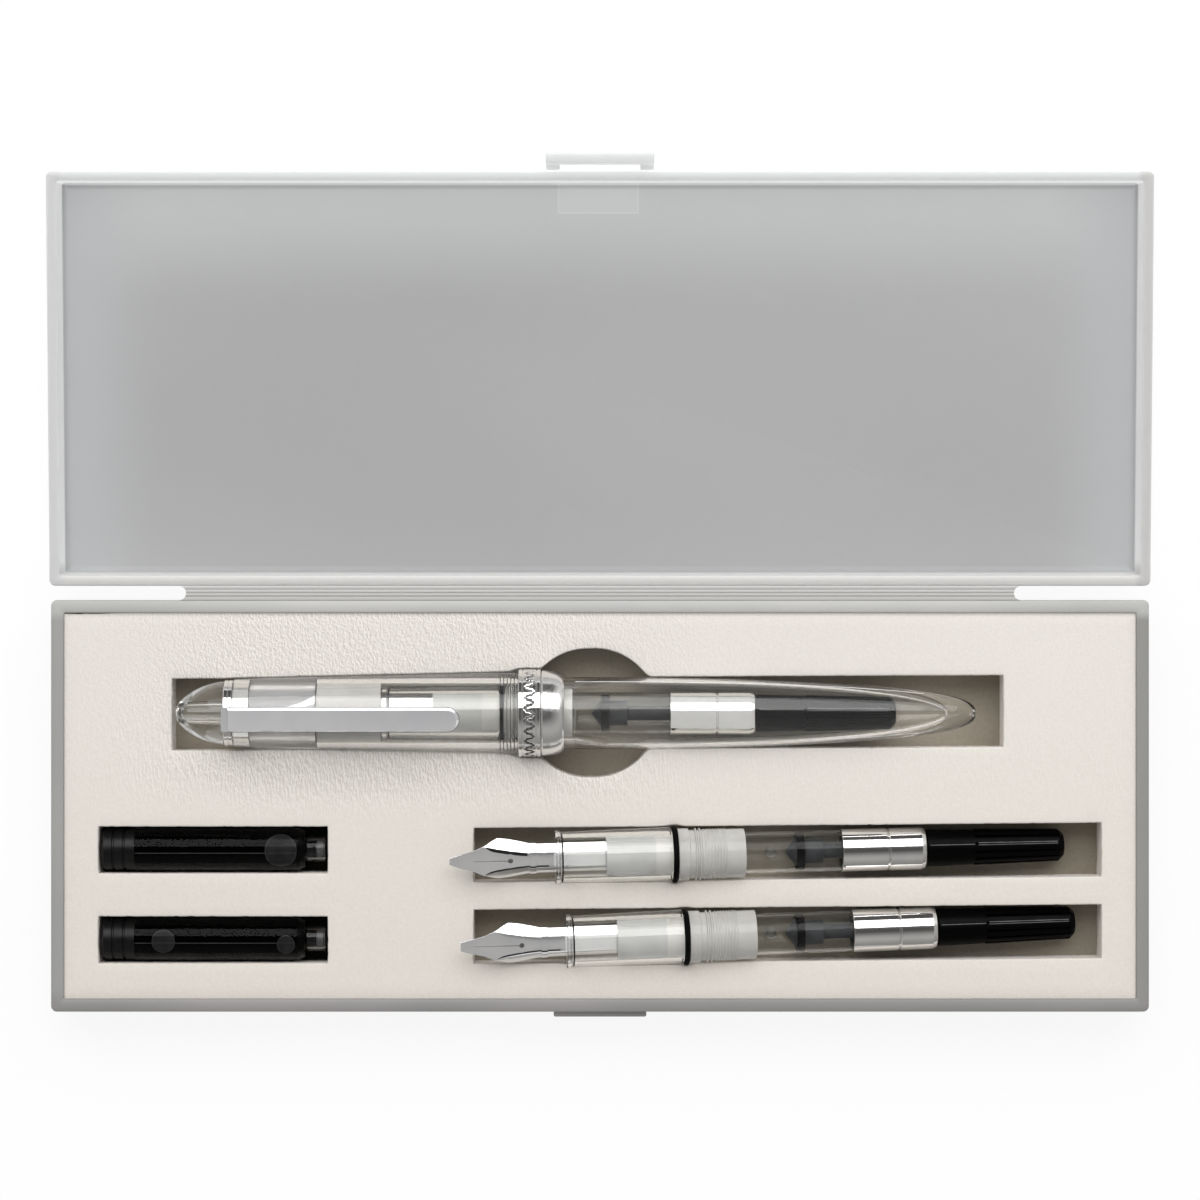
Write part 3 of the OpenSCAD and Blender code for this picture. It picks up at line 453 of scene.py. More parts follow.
def eased(table, u):
    """Interpolates a table of (u, value, value, ...) rows, and holds its ends."""
    for a, b in zip(table, table[1:]):
        if u <= b[0]:
            t = min(1.0, max(0.0, (u - a[0]) / (b[0] - a[0])))
            return [p + (q - p) * t for p, q in zip(a[1:], b[1:])]
    return list(table[-1][1:])


def rounded(profile, closed, steps):
    """A profile of (u, r, radius) points with an arc at each corner.

    A point beside each arc holds the flat next to it.
    """
    out = []
    count = len(profile)
    for i, point in enumerate(profile):
        corner = Vector(point[:2])
        radius = point[2] if len(point) > 2 else 0
        if radius <= 0 or (not closed and i in (0, count - 1)):
            out.append(tuple(corner))
            continue
        before = Vector(profile[i - 1][:2]) - corner
        after = Vector(profile[(i + 1) % count][:2]) - corner
        reach_before, reach_after = before.length, after.length
        angle = before.angle(after)
        if angle > rad(174):
            out.append(tuple(corner))
            continue
        before.normalize()
        after.normalize()
        cut = min(radius / math.tan(angle / 2), 0.4 * reach_before, 0.4 * reach_after)
        a, b = corner + before * cut, corner + after * cut
        out.append(tuple(a + before * min(cut * 0.4, 0.08 * reach_before)))
        out += [tuple(bent(a, corner, b, s / steps)) for s in range(steps + 1)]
        out.append(tuple(b + after * min(cut * 0.4, 0.08 * reach_after)))
    return out


def lathe(name, profile, materials, body, nodes, place, slot, around=72, steps=4, pick=None,
          shape=None):
    """A solid of revolution about +X. A profile that starts on the axis is open, others close."""
    opened = profile[0][1] == 0
    ring = rounded(profile, not opened, steps)
    verts, index = [], []
    for u, r in ring:
        first = len(verts)
        if r < 1e-6:
            index.append([first] * around)
            verts.append((u, 0, 0))
            continue
        index.append(list(range(first, first + around)))
        for j in range(around):
            q = shape(u, r, j) if shape else r
            a = TURN * j / around
            verts.append((u, q * math.cos(a), q * math.sin(a)))
    faces, picks = [], []
    count = len(ring)
    for i in range(count - 1 if opened else count):
        a, b = index[i], index[(i + 1) % count]
        middle = [(p + q) / 2 for p, q in zip(ring[i], ring[(i + 1) % count])]
        for j in range(around):
            k = (j + 1) % around
            face = list(dict.fromkeys([a[j], a[k], b[k], b[j]]))
            if len(face) > 2:
                faces.append(face)
                picks.append(pick(*middle, j) if pick else 0)
    make(name, verts, faces, materials, body, nodes, place, slot=slot, picks=picks)


def turner(body, place):
    """A short call for the round pieces of one unit, whose names start with its body's."""
    def turned(name, profile, materials, slot, node=None, on="", **more):
        nodes = [f"{body}_{node}"] if node else []
        lathe(f"{body}_{name}", profile, materials, body + on, nodes, place, slot, **more)
    return turned


def rim_loop(half_x, half_y, radius, z, centre_y=0.0):
    """A rounded rectangle."""
    radius = max(radius, 0.1)
    points = []
    for quarter in range(4):
        sx = 1 if quarter in (0, 3) else -1
        sy = 1 if quarter < 2 else -1
        for s in range(7):
            a = rad(90 * quarter + 15 * s)
            points.append((sx * (half_x - radius) + radius * math.cos(a),
                           centre_y + sy * (half_y - radius) + radius * math.sin(a), z))
    return points


def skin(loops, verts, faces, first_cap=True, last_cap=True):
    """Joins loops of equal count, and closes the ends."""
    starts = []
    for loop in loops:
        starts.append(len(verts))
        verts.extend(loop)
    count = len(loops[0])
    for a, b in zip(starts, starts[1:]):
        for i in range(count):
            k = (i + 1) % count
            faces.append([a + i, a + k, b + k, b + i])
    for start, closed in ((starts[0], first_cap), (starts[-1], last_cap)):
        if closed:
            faces.append(list(range(start, start + count)))


def inside(point, loop):
    """Whether a point lies inside a flat loop."""
    x, y = point
    odd = False
    for (ax, ay), (bx, by) in zip(loop, loop[1:] + loop[:1]):
        if (ay > y) != (by > y) and x < (bx - ax) * (y - ay) / (by - ay) + ax:
            odd = not odd
    return odd


def cover(verts, faces, outer, holes, height, extra=()):
    """Adds a sheet with holes. Its height may vary, and extra points divide it evenly."""
    outer, *holes = [[p[:2] for p in loop] for loop in (outer, *holes)]
    points, edges = [], []
    for loop in (outer, *holes):
        start = len(points)
        points += [Vector(p) for p in loop]
        edges += [(start + i, start + (i + 1) % len(loop)) for i in range(len(loop))]
    points += [Vector(p) for p in extra]
    found = delaunay_2d_cdt(points, edges, [], 1, 1e-6)
    flat = [tuple(v) for v in found[0]]
    first = len(verts)
    verts += [(x, y, height(x, y)) for x, y in flat]
    for face in found[2]:
        centre = [sum(flat[i][a] for i in face) / len(face) for a in (0, 1)]
        if not any(inside(centre, hole) for hole in holes):
            faces.append([first + i for i in face])


def blocks(xs, ys, zs, keep):
    """The outside of the boxes of a grid that keep(i, j, k) says are solid."""
    marks = (xs, ys, zs)
    solid = [cell for cell in product(*[range(len(m) - 1) for m in marks]) if keep(*cell)]
    verts, faces = [], []
    for cell, axis, side in product(solid, range(3), (0, 1)):
        beside = list(cell)
        beside[axis] += 2 * side - 1
        if tuple(beside) in solid:
            continue
        faces.append([len(verts) + i for i in range(4)])
        for a, b in ((0, 0), (1, 0), (1, 1), (0, 1)):
            corner = list(cell)
            corner[axis] += side
            corner[(axis + 1) % 3] += a
            corner[(axis + 2) % 3] += b
            verts.append([m[i] for m, i in zip(marks, corner)])
    return verts, faces


# The case

TRAY_HALF = (94.0, 35.25)
TRAY_H, TRAY_FLOOR = 12.4, 1.6
LID_HALF = (94.25, 35.35)
LID_MID = 36.55
LID_PLACE = moved(0, HINGE_Y, HINGE_Z) @ turned_by(LID_TILT, "X")


def case_loops(half, bottom, rim, wall, floor, centre_y=0.0):
    """Loops from the outer face up over the rim and down to the inner face."""
    levels = [(1.2, bottom), (0.45, bottom + 0.08), (0.12, bottom + 0.38), (0.0, bottom + 0.95),
              (0.0, rim - 0.7), (0.0, rim - 0.4), (0.1, rim - 0.14), (0.34, rim),
              (wall - 0.34, rim), (wall - 0.1, rim - 0.14), (wall, rim - 0.4), (wall, rim - 0.8),
              (wall, floor + 1.0), (wall + 0.14, floor + 0.42), (wall + 0.5, floor + 0.1),
              (wall + 1.2, floor)]
    return [rim_loop(half[0] - inset, half[1] - inset, 1.0 - inset * 0.3, z, centre_y)
            for inset, z in levels]


def tray():
    verts, faces = [], []
    skin(case_loops(TRAY_HALF, 0, TRAY_H, 2.2, TRAY_FLOOR), verts, faces)
    make("tray", verts, faces, TRAY, "base", ["base_tray"], slot="box_plastic")
    catch = blocks([-7.95, 7.95], [-36.25, -34.9], [9.4, 10.8], lambda i, j, k: True)
    make("tray_catch", *catch, TRAY, "base", bevel=0.3, slot="box_plastic")


def lid():
    """The lid's shell, with the thumb recess sunk in its outer face."""
    thumb_half, thumb_near, thumb_far, thumb_depth = 6.95, 65.0, 70.1, 0.5
    thumb = [(-thumb_half, thumb_near), (thumb_half, thumb_near), (thumb_half, thumb_far),
             (-thumb_half, thumb_far)]
    verts, faces = [], []
    loops = case_loops(LID_HALF, LID_BACK, LID_RIM, 1.8, LID_FACE, LID_MID)
    skin(loops, verts, faces, first_cap=False)
    cover(verts, faces, loops[0], [thumb], lambda x, y: LID_BACK)
    skin([[(x, y, z) for x, y in thumb] for z in (LID_BACK, LID_BACK + thumb_depth)], verts, faces,
         first_cap=False)
    make("lid", verts, faces, LID, "lid", ["lid_shell"], LID_PLACE, slot="lid_plastic")


def latch():
    """The tab, held to the lid by a leg on each side of its slot."""
    tab = blocks([-9.15, -6.85, 6.85, 9.15], [71.95, 72.9, 74.8], [-7.0, LID_RIM, 4.3],
                 lambda i, j, k: j == 1 or (i != 1 and k == 0))
    make("latch", *tab, LATCH, "latch", ["latch_tab"], LID_PLACE, bevel=0.3, slot="lid_plastic")


def hinge_strip():
    """A thin grooved strip whose ends flare into both rims."""
    half, width, thick, near = 70.85, 2.35, 0.45, TRAY_HALF[1]
    groove, depth, pitch = 0.12, 0.1, 0.6
    across = [(0.0, 0.0), (0.16, 0.0)]
    for i in range(1, 4):
        for offset, z in ((-groove - 0.08, 0), (-groove, -0.03), (-0.05, -depth), (0.05, -depth),
                          (groove, -0.03), (groove + 0.08, 0)):
            across.append((i * pitch + offset, z))
    across += [(2.19, 0.0), (width, 0.0)]
    flare = width / 2 + 0.02
    rows = []
    for y, z in across:
        end = half + flare - math.sqrt(max(0.0, flare ** 2 - (y - width / 2) ** 2))
        stations = [-end, -end + 0.2, -40, 0, 40, end - 0.2, end]
        row = [(x, near + y, TRAY_H + z) for x in stations]
        under = [(x, near + y, TRAY_H - thick) for x in stations]
        rows.append(row + under[::-1])
    verts, faces = [], []
    skin(rows, verts, faces)
    strip = make("hinge_strip", verts, faces, HINGE, "base", ["living_hinge"],
                 slot="hinge_plastic")
    # the strip rides on no body of its own, because it blends from one to the other
    strip.parent = None
    del strip["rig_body"]
    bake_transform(strip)


tray()
lid()
latch()
hinge_strip()

# The foam and its backing

FOAM_TOP, PAD_TOP, PAD_LOW = 11.7, 4.6, TRAY_FLOOR
FOAM_HALF = (91.5, 32.75)
SHEET_HALF = (91.79, 33.04)
PEN_X, PEN_Y, PEN_Z = -72.7, 15.9, 12.4
# stations and radii that the foam hugs
PEN_PROFILE = [(0, 0), (0.7, 2.2), (2, 3.2), (4.5, 4.5), (8.5, 5.5), (8.6, 5.7), (10.1, 5.85),
               (58.5, 6.95), (58.8, 7.5), (62.6, 7.5), (62.7, 7.3), (66.6, 6.4), (67, 6.2),
               (90, 5.95), (110, 5.2), (125, 3.9), (134, 2.2), (137, 0)]
UNIT_PROFILE = [(0, 0), (7, 2.9), (8.2, 3.5), (14.9, 2.6), (17.9, 2.6), (18, 4.6), (18.8, 4.6),
                (19, 4.4), (37.8, 4.75), (38, 4.9), (39, 4.9), (39.1, 4.5), (50.5, 4.4),
                (50.6, 3.6), (67.1, 3.6), (67.2, 3.7), (81.8, 3.7), (82, 3.2), (105.6, 2.8),
                (105.7, 0)]
# a spare's O-ring lies at its place, RING_U from the nib's tip. The other values are its turn,
# its slot's middle, the tip's width, the seal's distance to the ferrule and the end of the painted
# dark reflection on its fold
SPARES = {1: dict(at=(12.7, -8.3, 12.7), yaw=1.2, slot_y=-8.0, tip=1.1, gap=9.7, crease=13.3),
          2: dict(at=(14.6, -22.4, 12.7), yaw=1.8, slot_y=-22.0, tip=1.5, gap=11.6, crease=0)}
RING_U = 38.5
# the spares' slope, and the share of their length that shows from above
PITCH, SHORTENED = 4.352525, 0.9969
HUG = 0.14
FINGER_X, FINGER_R = -1.5, 11.0
PEN_SLOT, SPARE_SLOT, CARTRIDGE_SLOT = 6.1, 4.55, 3.95
PEN_ENDS, SPARE_ENDS, CARTRIDGE_ENDS = (-73.3, 69.1), (-21.6, 85.9), (-85.9, -46.7)


def at_level(radius, below):
    """Half width of a lying round piece, seen at a level that far below its axis."""
    return math.sqrt(max(0.0, radius ** 2 - max(0.0, below) ** 2))


def askew(ends, y, turn, x):
    """Middle line of a slot that is cut slightly askew."""
    return y + (x - sum(ends) / 2) * math.tan(rad(turn))


def pen_hole(x, z):
    """Front and rear edge of the pen's hole at x, at a level."""
    middle = askew(PEN_ENDS, PEN_Y, 0.24, x)
    reach = at_level(eased(PEN_PROFILE, x - PEN_X)[0] + HUG, PEN_Z - z)
    finger = math.sqrt(max(0.0, FINGER_R ** 2 - (x - FINGER_X) ** 2))
    return (min(middle - PEN_SLOT, PEN_Y - reach, PEN_Y - finger),
            max(middle + PEN_SLOT, PEN_Y + reach, PEN_Y + finger))


def spare_hole(k):
    spare = SPARES[k]
    at_x, at_y, at_z = spare["at"]
    nib_end = 17.5

    def edges(x, z):
        middle = askew(SPARE_ENDS, spare["slot_y"], 0.5, x)
        line = at_y + (x - at_x) * math.tan(rad(spare["yaw"]))
        level = at_z - (x - at_x) * math.tan(rad(PITCH))
        u = RING_U + (x - at_x) / SHORTENED
        reach = at_level(eased(UNIT_PROFILE, u)[0] + HUG, level - z) if u > nib_end else 0
        return min(middle - SPARE_SLOT, line - reach), max(middle + SPARE_SLOT, line + reach)
    return edges


def cartridge_hole(y):
    return lambda x, z: (y - CARTRIDGE_SLOT, y + CARTRIDGE_SLOT)


HOLES = [(*PEN_ENDS, pen_hole)]
HOLES += [(*SPARE_ENDS, spare_hole(k)) for k in SPARES]
HOLES += [(*CARTRIDGE_ENDS, cartridge_hole(y)) for y in CARTRIDGE_YS]


def ragged(x, y, z, size):
    """Small uneven tears along a cut."""
    p = Vector((x * 0.9, y * 0.9, z * 0.7))
    fine = noise.noise(p * 2.3) * 0.6 + noise.noise(p * 5.1) * 0.4
    return fine * size


def hole_loop(hole, z, out):
    """The hole's outline at a level, moved out into the foam. All levels have equal counts."""
    left, right, edges = hole
    count = max(8, round((right - left) / 0.55))
    xs = [left + (right - left) * i / count for i in range(count + 1)]
    lows, highs = zip(*[edges(x, z) for x in xs])

    def near(values, i):
        return values[max(0, i - 1):i + 2]

    def smoothed(values, pick):
        wide = [pick(near(values, i)) for i in range(len(values))]
        return [sum(near(wide, i)) / len(near(wide, i)) for i in range(len(wide))]
    lows, highs = smoothed(lows, min), smoothed(highs, max)
    rise = max(4, round((highs[0] - lows[0]) / 0.8))
    loop = [(x, y, 0, -1) for x, y in zip(xs, lows)]
    loop += [(right, lows[-1] + (highs[-1] - lows[-1]) * i / rise, 1, 0) for i in range(1, rise)]
    loop += [(x, y, 0, 1) for x, y in zip(reversed(xs), reversed(highs))]
    loop += [(left, highs[0] + (lows[0] - highs[0]) * i / rise, -1, 0) for i in range(1, rise)]
    points = []
    for x, y, nx, ny in loop:
        push = out + max(0.0, ragged(x, y, z, 0.16)) + 0.04
        aside = nx * push
        if ny and x in (left, right):
            aside = out if x == right else -out
        points.append((x + aside, y + ny * push, z))
    return points


def foam_height(x, y):
    """Gentle unevenness of the foam's face."""
    return FOAM_TOP + 0.06 * noise.noise(Vector((x * 0.12, y * 0.16, 3)))


def on_face(loop, drop):
    return [(x, y, foam_height(x, y) - drop) for x, y, z in loop]


def border(inset, z):
    """The sheet's outline. The rear left edge stands off the wall in places."""
    rear, loose_x, fade, gap = 30, -82.5, 3, 0.16
    points = []
    hx, hy = SHEET_HALF[0] - inset, SHEET_HALF[1] - inset
    corners = [(-hx, -hy), (hx, -hy), (hx, hy), (-hx, hy)]
    for (ax, ay), (bx, by) in zip(corners, corners[1:] + corners[:1]):
        parts = round(math.hypot(bx - ax, by - ay) / 0.9)
        for i in range(parts):
            x, y = ax + (bx - ax) * i / parts, ay + (by - ay) * i / parts
            if y > rear:
                loose = max(0.0, min(1.0, (loose_x - x) / fade))
                y -= max(0.0, loose * (gap + ragged(x, 3, z, 0.2)))
            points.append((x, y, z))
    return points


def face_points():
    """Points spread over the foam's face, clear of its edges and holes."""
    step, margin, clear = 1.7, 1.2, 1.3
    points = []
    for i in range(-53, 54):
        for j in range(-19, 20):
            x, y = i * step + (j % 2) * step / 2, j * step
            if abs(x) > FOAM_HALF[0] - margin or abs(y) > FOAM_HALF[1] - margin:
                continue
            near = False
            for left, right, edges in HOLES:
                if left - margin < x < right + margin:
                    low, high = edges(min(max(x, left), right), FOAM_TOP)
                    near = near or low - clear < y < high + clear
            if not near:
                points.append((x, y))
    return points


def foam_sheet():
    verts, faces, tops, feet = [], [], [], []
    for hole in HOLES:
        loops = [on_face(hole_loop(hole, FOAM_TOP, out), drop)
                 for out, drop in ((0.3, 0), (0.12, 0.05), (0.02, 0.2), (0.0, 0.5))]
        loops += [hole_loop(hole, z, 0.0) for z in (10.2, 8.8, 7.6, 6.4, 5.4, PAD_TOP)]
        skin(loops, verts, faces, first_cap=False, last_cap=False)
        tops.append(loops[0])
        feet.append(loops[-1])
    edge = [on_face(border(inset, FOAM_TOP), drop)
            for inset, drop in ((0.06, 0), (0.01, 0.02), (0.0, 0.1))]
    edge += [border(0.0, 9.0), border(0.0, PAD_TOP)]
    skin(edge, verts, faces, first_cap=False, last_cap=False)
    cover(verts, faces, edge[0], tops, foam_height, face_points())
    cover(verts, faces, edge[-1], feet, lambda x, y: PAD_TOP)
    piece = make("foam_sheet", verts, faces, FOAM, "foam", ["foam_insert"], sharp=60, slot="foam")


def backing_sheet():
    levels = [(0.5, PAD_LOW), (0.1, PAD_LOW + 0.15), (0, PAD_LOW + 0.5), (0, PAD_TOP - 0.5),
              (0.12, PAD_TOP - 0.15), (0.5, PAD_TOP), (1.5, PAD_TOP)]
    verts, faces = [], []
    skin([rim_loop(FOAM_HALF[0] - i, FOAM_HALF[1] - i, 0.6, z) for i, z in levels], verts, faces)
    pad = make("backing_sheet", verts, faces, BACKING, "base", ["backing_pad"], slot="pad")


foam_sheet()
backing_sheet()

# Nib units

PEN_PLACE = moved(PEN_X, PEN_Y, PEN_Z)
# the nib's tip in the pen, and the ferrule's end in a unit
TIP_IN_PEN, FERRULE_U = 17.5, 67.2
UNITS = {"pen": dict(place=PEN_PLACE @ moved(TIP_IN_PEN, 0, 0), tip=1.1, gap=13.8, crease=0)}
for k, spare in SPARES.items():
    place = moved(*spare["at"]) @ turned_by(spare["yaw"], "Z") @ turned_by(PITCH, "Y")
    UNITS[f"spare_{k}"] = dict(spare, place=place @ moved(-RING_U, 0, 0))

NIB_ROLL = 18.0
# station, face half width, crown, outer half width, drop, bulge of the flank
NIB = [(0, 0.55, 0.0, 0.57, 0.02, 0), (1.6, 1.14, 0.03, 1.17, 0.06, 0),
       (4.1, 1.86, 0.06, 1.9, 0.12, 0), (5.8, 2.6, 0.08, 2.66, 0.16, 0),
       (6.2, 2.48, 0.08, 2.8, 0.32, 0.02), (7.0, 2.2, 0.09, 3.2, 0.8, 0.04),
       (8.1, 1.92, 0.1, 3.65, 1.36, 0.05), (8.5, 1.86, 0.1, 3.66, 1.38, 0.05),
       (10, 1.6, 0.1, 3.48, 1.4, 0.06), (12, 1.32, 0.1, 3.08, 1.32, 0.08),
       (13.6, 1.16, 0.1, 2.74, 1.2, 0.1), (14.0, 1.15, 0.1, 2.64, 1.12, 0.12),
       (26.7, 1.15, 0.1, 2.62, 1.1, 0.12)]
COLLAR = (13.8, 14.85)


def nib_section(u, gap, tip, folded):
    """Points across one half of the blade: a flat face, a crisp fold and a flank."""
    face, crown, outer, drop, bulge = eased(NIB, u)
    if folded:
        face = min(face, 0.6 * outer)
        drop = max(drop, crown + 0.7 * (outer - face))
    grow = (tip / 2 - 0.55) * max(0.0, 1 - u / 3)
    face, outer = face + grow, outer + grow
    fold = Vector((face, -crown))
    edge = Vector((outer, -drop))
    run = edge - fold
    normal = Vector((-run.y, run.x)).normalized()
    control = (fold + edge) / 2 + normal * bulge
    soft = min(0.4, 0.3 * (face - gap), 0.3 * run.length)

    def on_top(y):
        return Vector((y, -crown * (y / face) ** 2))
    first = soft / run.length / 2
    start, stop = on_top(face - soft), bent(fold, control, edge, first)
    points = [on_top(gap + (face - soft - gap) * i / 6) for i in range(7)]
    points += [bent(start, fold, stop, i / 5) for i in (1, 2, 3, 4)]
    points += [bent(fold, control, edge, first + (1 - first) * i / 6) for i in range(7)]
    return points


def nib(unit, name):
    """Blade and shank folded from one sheet, with a slit, a breather hole and a collar."""
    thick, face_height, bend_at, droop = 0.3, 1.15, 14, 1.2
    hole_at, hole_r, slit = 10.4, 0.45, 0.07
    stations = [0, 0.2, 0.8, 1.6, 2.8, 4.1, 5.2, 5.8, 6.2, 6.6, 7.0, 7.5, 7.9, 8.1, 8.3, 8.6,
                9.1, 9.6]
    stations += [hole_at - hole_r * math.cos(rad(a)) for a in range(0, 181, 15)]
    stations += [11.1, 11.6, 12.2, 12.8, 13.3, COLLAR[0] - 0.06, *COLLAR, COLLAR[1] + 0.06]
    stations += [17.0, 20.0, 23.0, 26.7]
    place = unit["place"] @ turned_by(NIB_ROLL, "X")
    verts, faces, picks = [], [], []
    for side in (1, -1):
        start = len(verts)
        for u in stations:
            lip = 0.11 if COLLAR[0] <= u <= COLLAR[1] else 0.0
            top = face_height + lip - max(0.0, bend_at - u) * math.tan(rad(droop))
            gap = slit * (0.3 + 0.7 * u / hole_at) if u < hole_at else 0.0
            if abs(u - hole_at) <= hole_r:
                gap = max(gap, math.sqrt(max(0.0, hole_r ** 2 - (u - hole_at) ** 2)))
            row = nib_section(u, gap, unit["tip"], name == "pen")
            nose = 0.14 * max(0.0, 1 - u / 0.8)
            for v, p in enumerate(row):
                before, after = row[max(0, v - 1)], row[min(len(row) - 1, v + 1)]
                run = (after - before).normalized()
                inward = Vector((run.y, -run.x)) * (thick - nose)
                inner = p + inward
                inner.x = max(inner.x, gap)
                for q, sink in ((p, nose), (inner, 0.0)):
                    verts.append((u, side * (q.x + lip * (q.x > 0.5)), top + q.y - sink))
        count = len(row)

        def at(i, v, inner):
            return start + 2 * (i * count + v) + inner

        def strip(i, a, b, shade=0):
            """A face from one station to the next."""
            faces.append([at(i, *a), at(i + 1, *a), at(i + 1, *b), at(i, *b)])
            picks.append(shade)
        last = len(stations) - 1
        for i in range(last):
            for v in range(count - 1):
                # painted reflection: the fold is painted dark in front, and behind where the unit
                # says so
                fold = 6 <= v <= 10 if side == 1 else 7 <= v <= 9
                along_fold = 6 < stations[i] < (unit["crease"] if side == 1 else 17)
                strip(i, (v, 0), (v + 1, 0), int(fold and along_fold))
                strip(i, (v, 1), (v + 1, 1))
            strip(i, (count - 1, 0), (count - 1, 1))
            if stations[i + 1] <= hole_at + hole_r + 1e-6:
                strip(i, (0, 0), (0, 1))
        for v in range(count - 1):
            for i in (0, last):
                faces.append([at(i, v, 0), at(i, v + 1, 0), at(i, v + 1, 1), at(i, v, 1)])
                picks.append(0)
    make(name + "_nib_blade", verts, faces, [STEEL, FOLD_REFLECTION], name, [name + "_nib"], place,
         picks=picks, sharp=30, slot="chrome")


def ridges(start, pitch, count, base, crest, half):
    """Thread ridges along a profile."""
    points = []
    for i in range(count):
        u = start + i * pitch
        points += [(u - half, base, .05), (u - half * 0.35, crest, .06),
                   (u + half * 0.35, crest, .06), (u + half, base, .05)]
    return points


def painted_line(name, body, place, span, radii, angle, slot, material=PAINTED_LINE_GREY):
    """A fine raised line along a round piece, at an angle from its top, whose colour paints a
    highlight.
    """
    half, lift, sunk = 0.07, 0.012, -0.05
    loops = []
    for u, r in zip(span, radii):
        loop = []
        for side, rise in ((-half, sunk), (-half, lift), (half, lift), (half, sunk)):
            turn = rad(angle) + side / r
            loop.append((u, (r + rise) * math.sin(turn), (r + rise) * math.cos(turn)))
        loops.append(loop)
    verts, faces = [], []
    skin(loops, verts, faces)
    make(name, verts, faces, material, body, place=place, slot=slot)


RIBS = 14
DISC_R = 3.2


def rib_shape(u, r, j):
    """Lengthwise grooves in the rear part of the knob."""
    rib_start, inside_r, groove_r = 90.32, 2.0, 2.52
    if u < rib_start or r < inside_r:
        return r
    return min(r, groove_r) if j % 10 in (0, 1, 9) else r


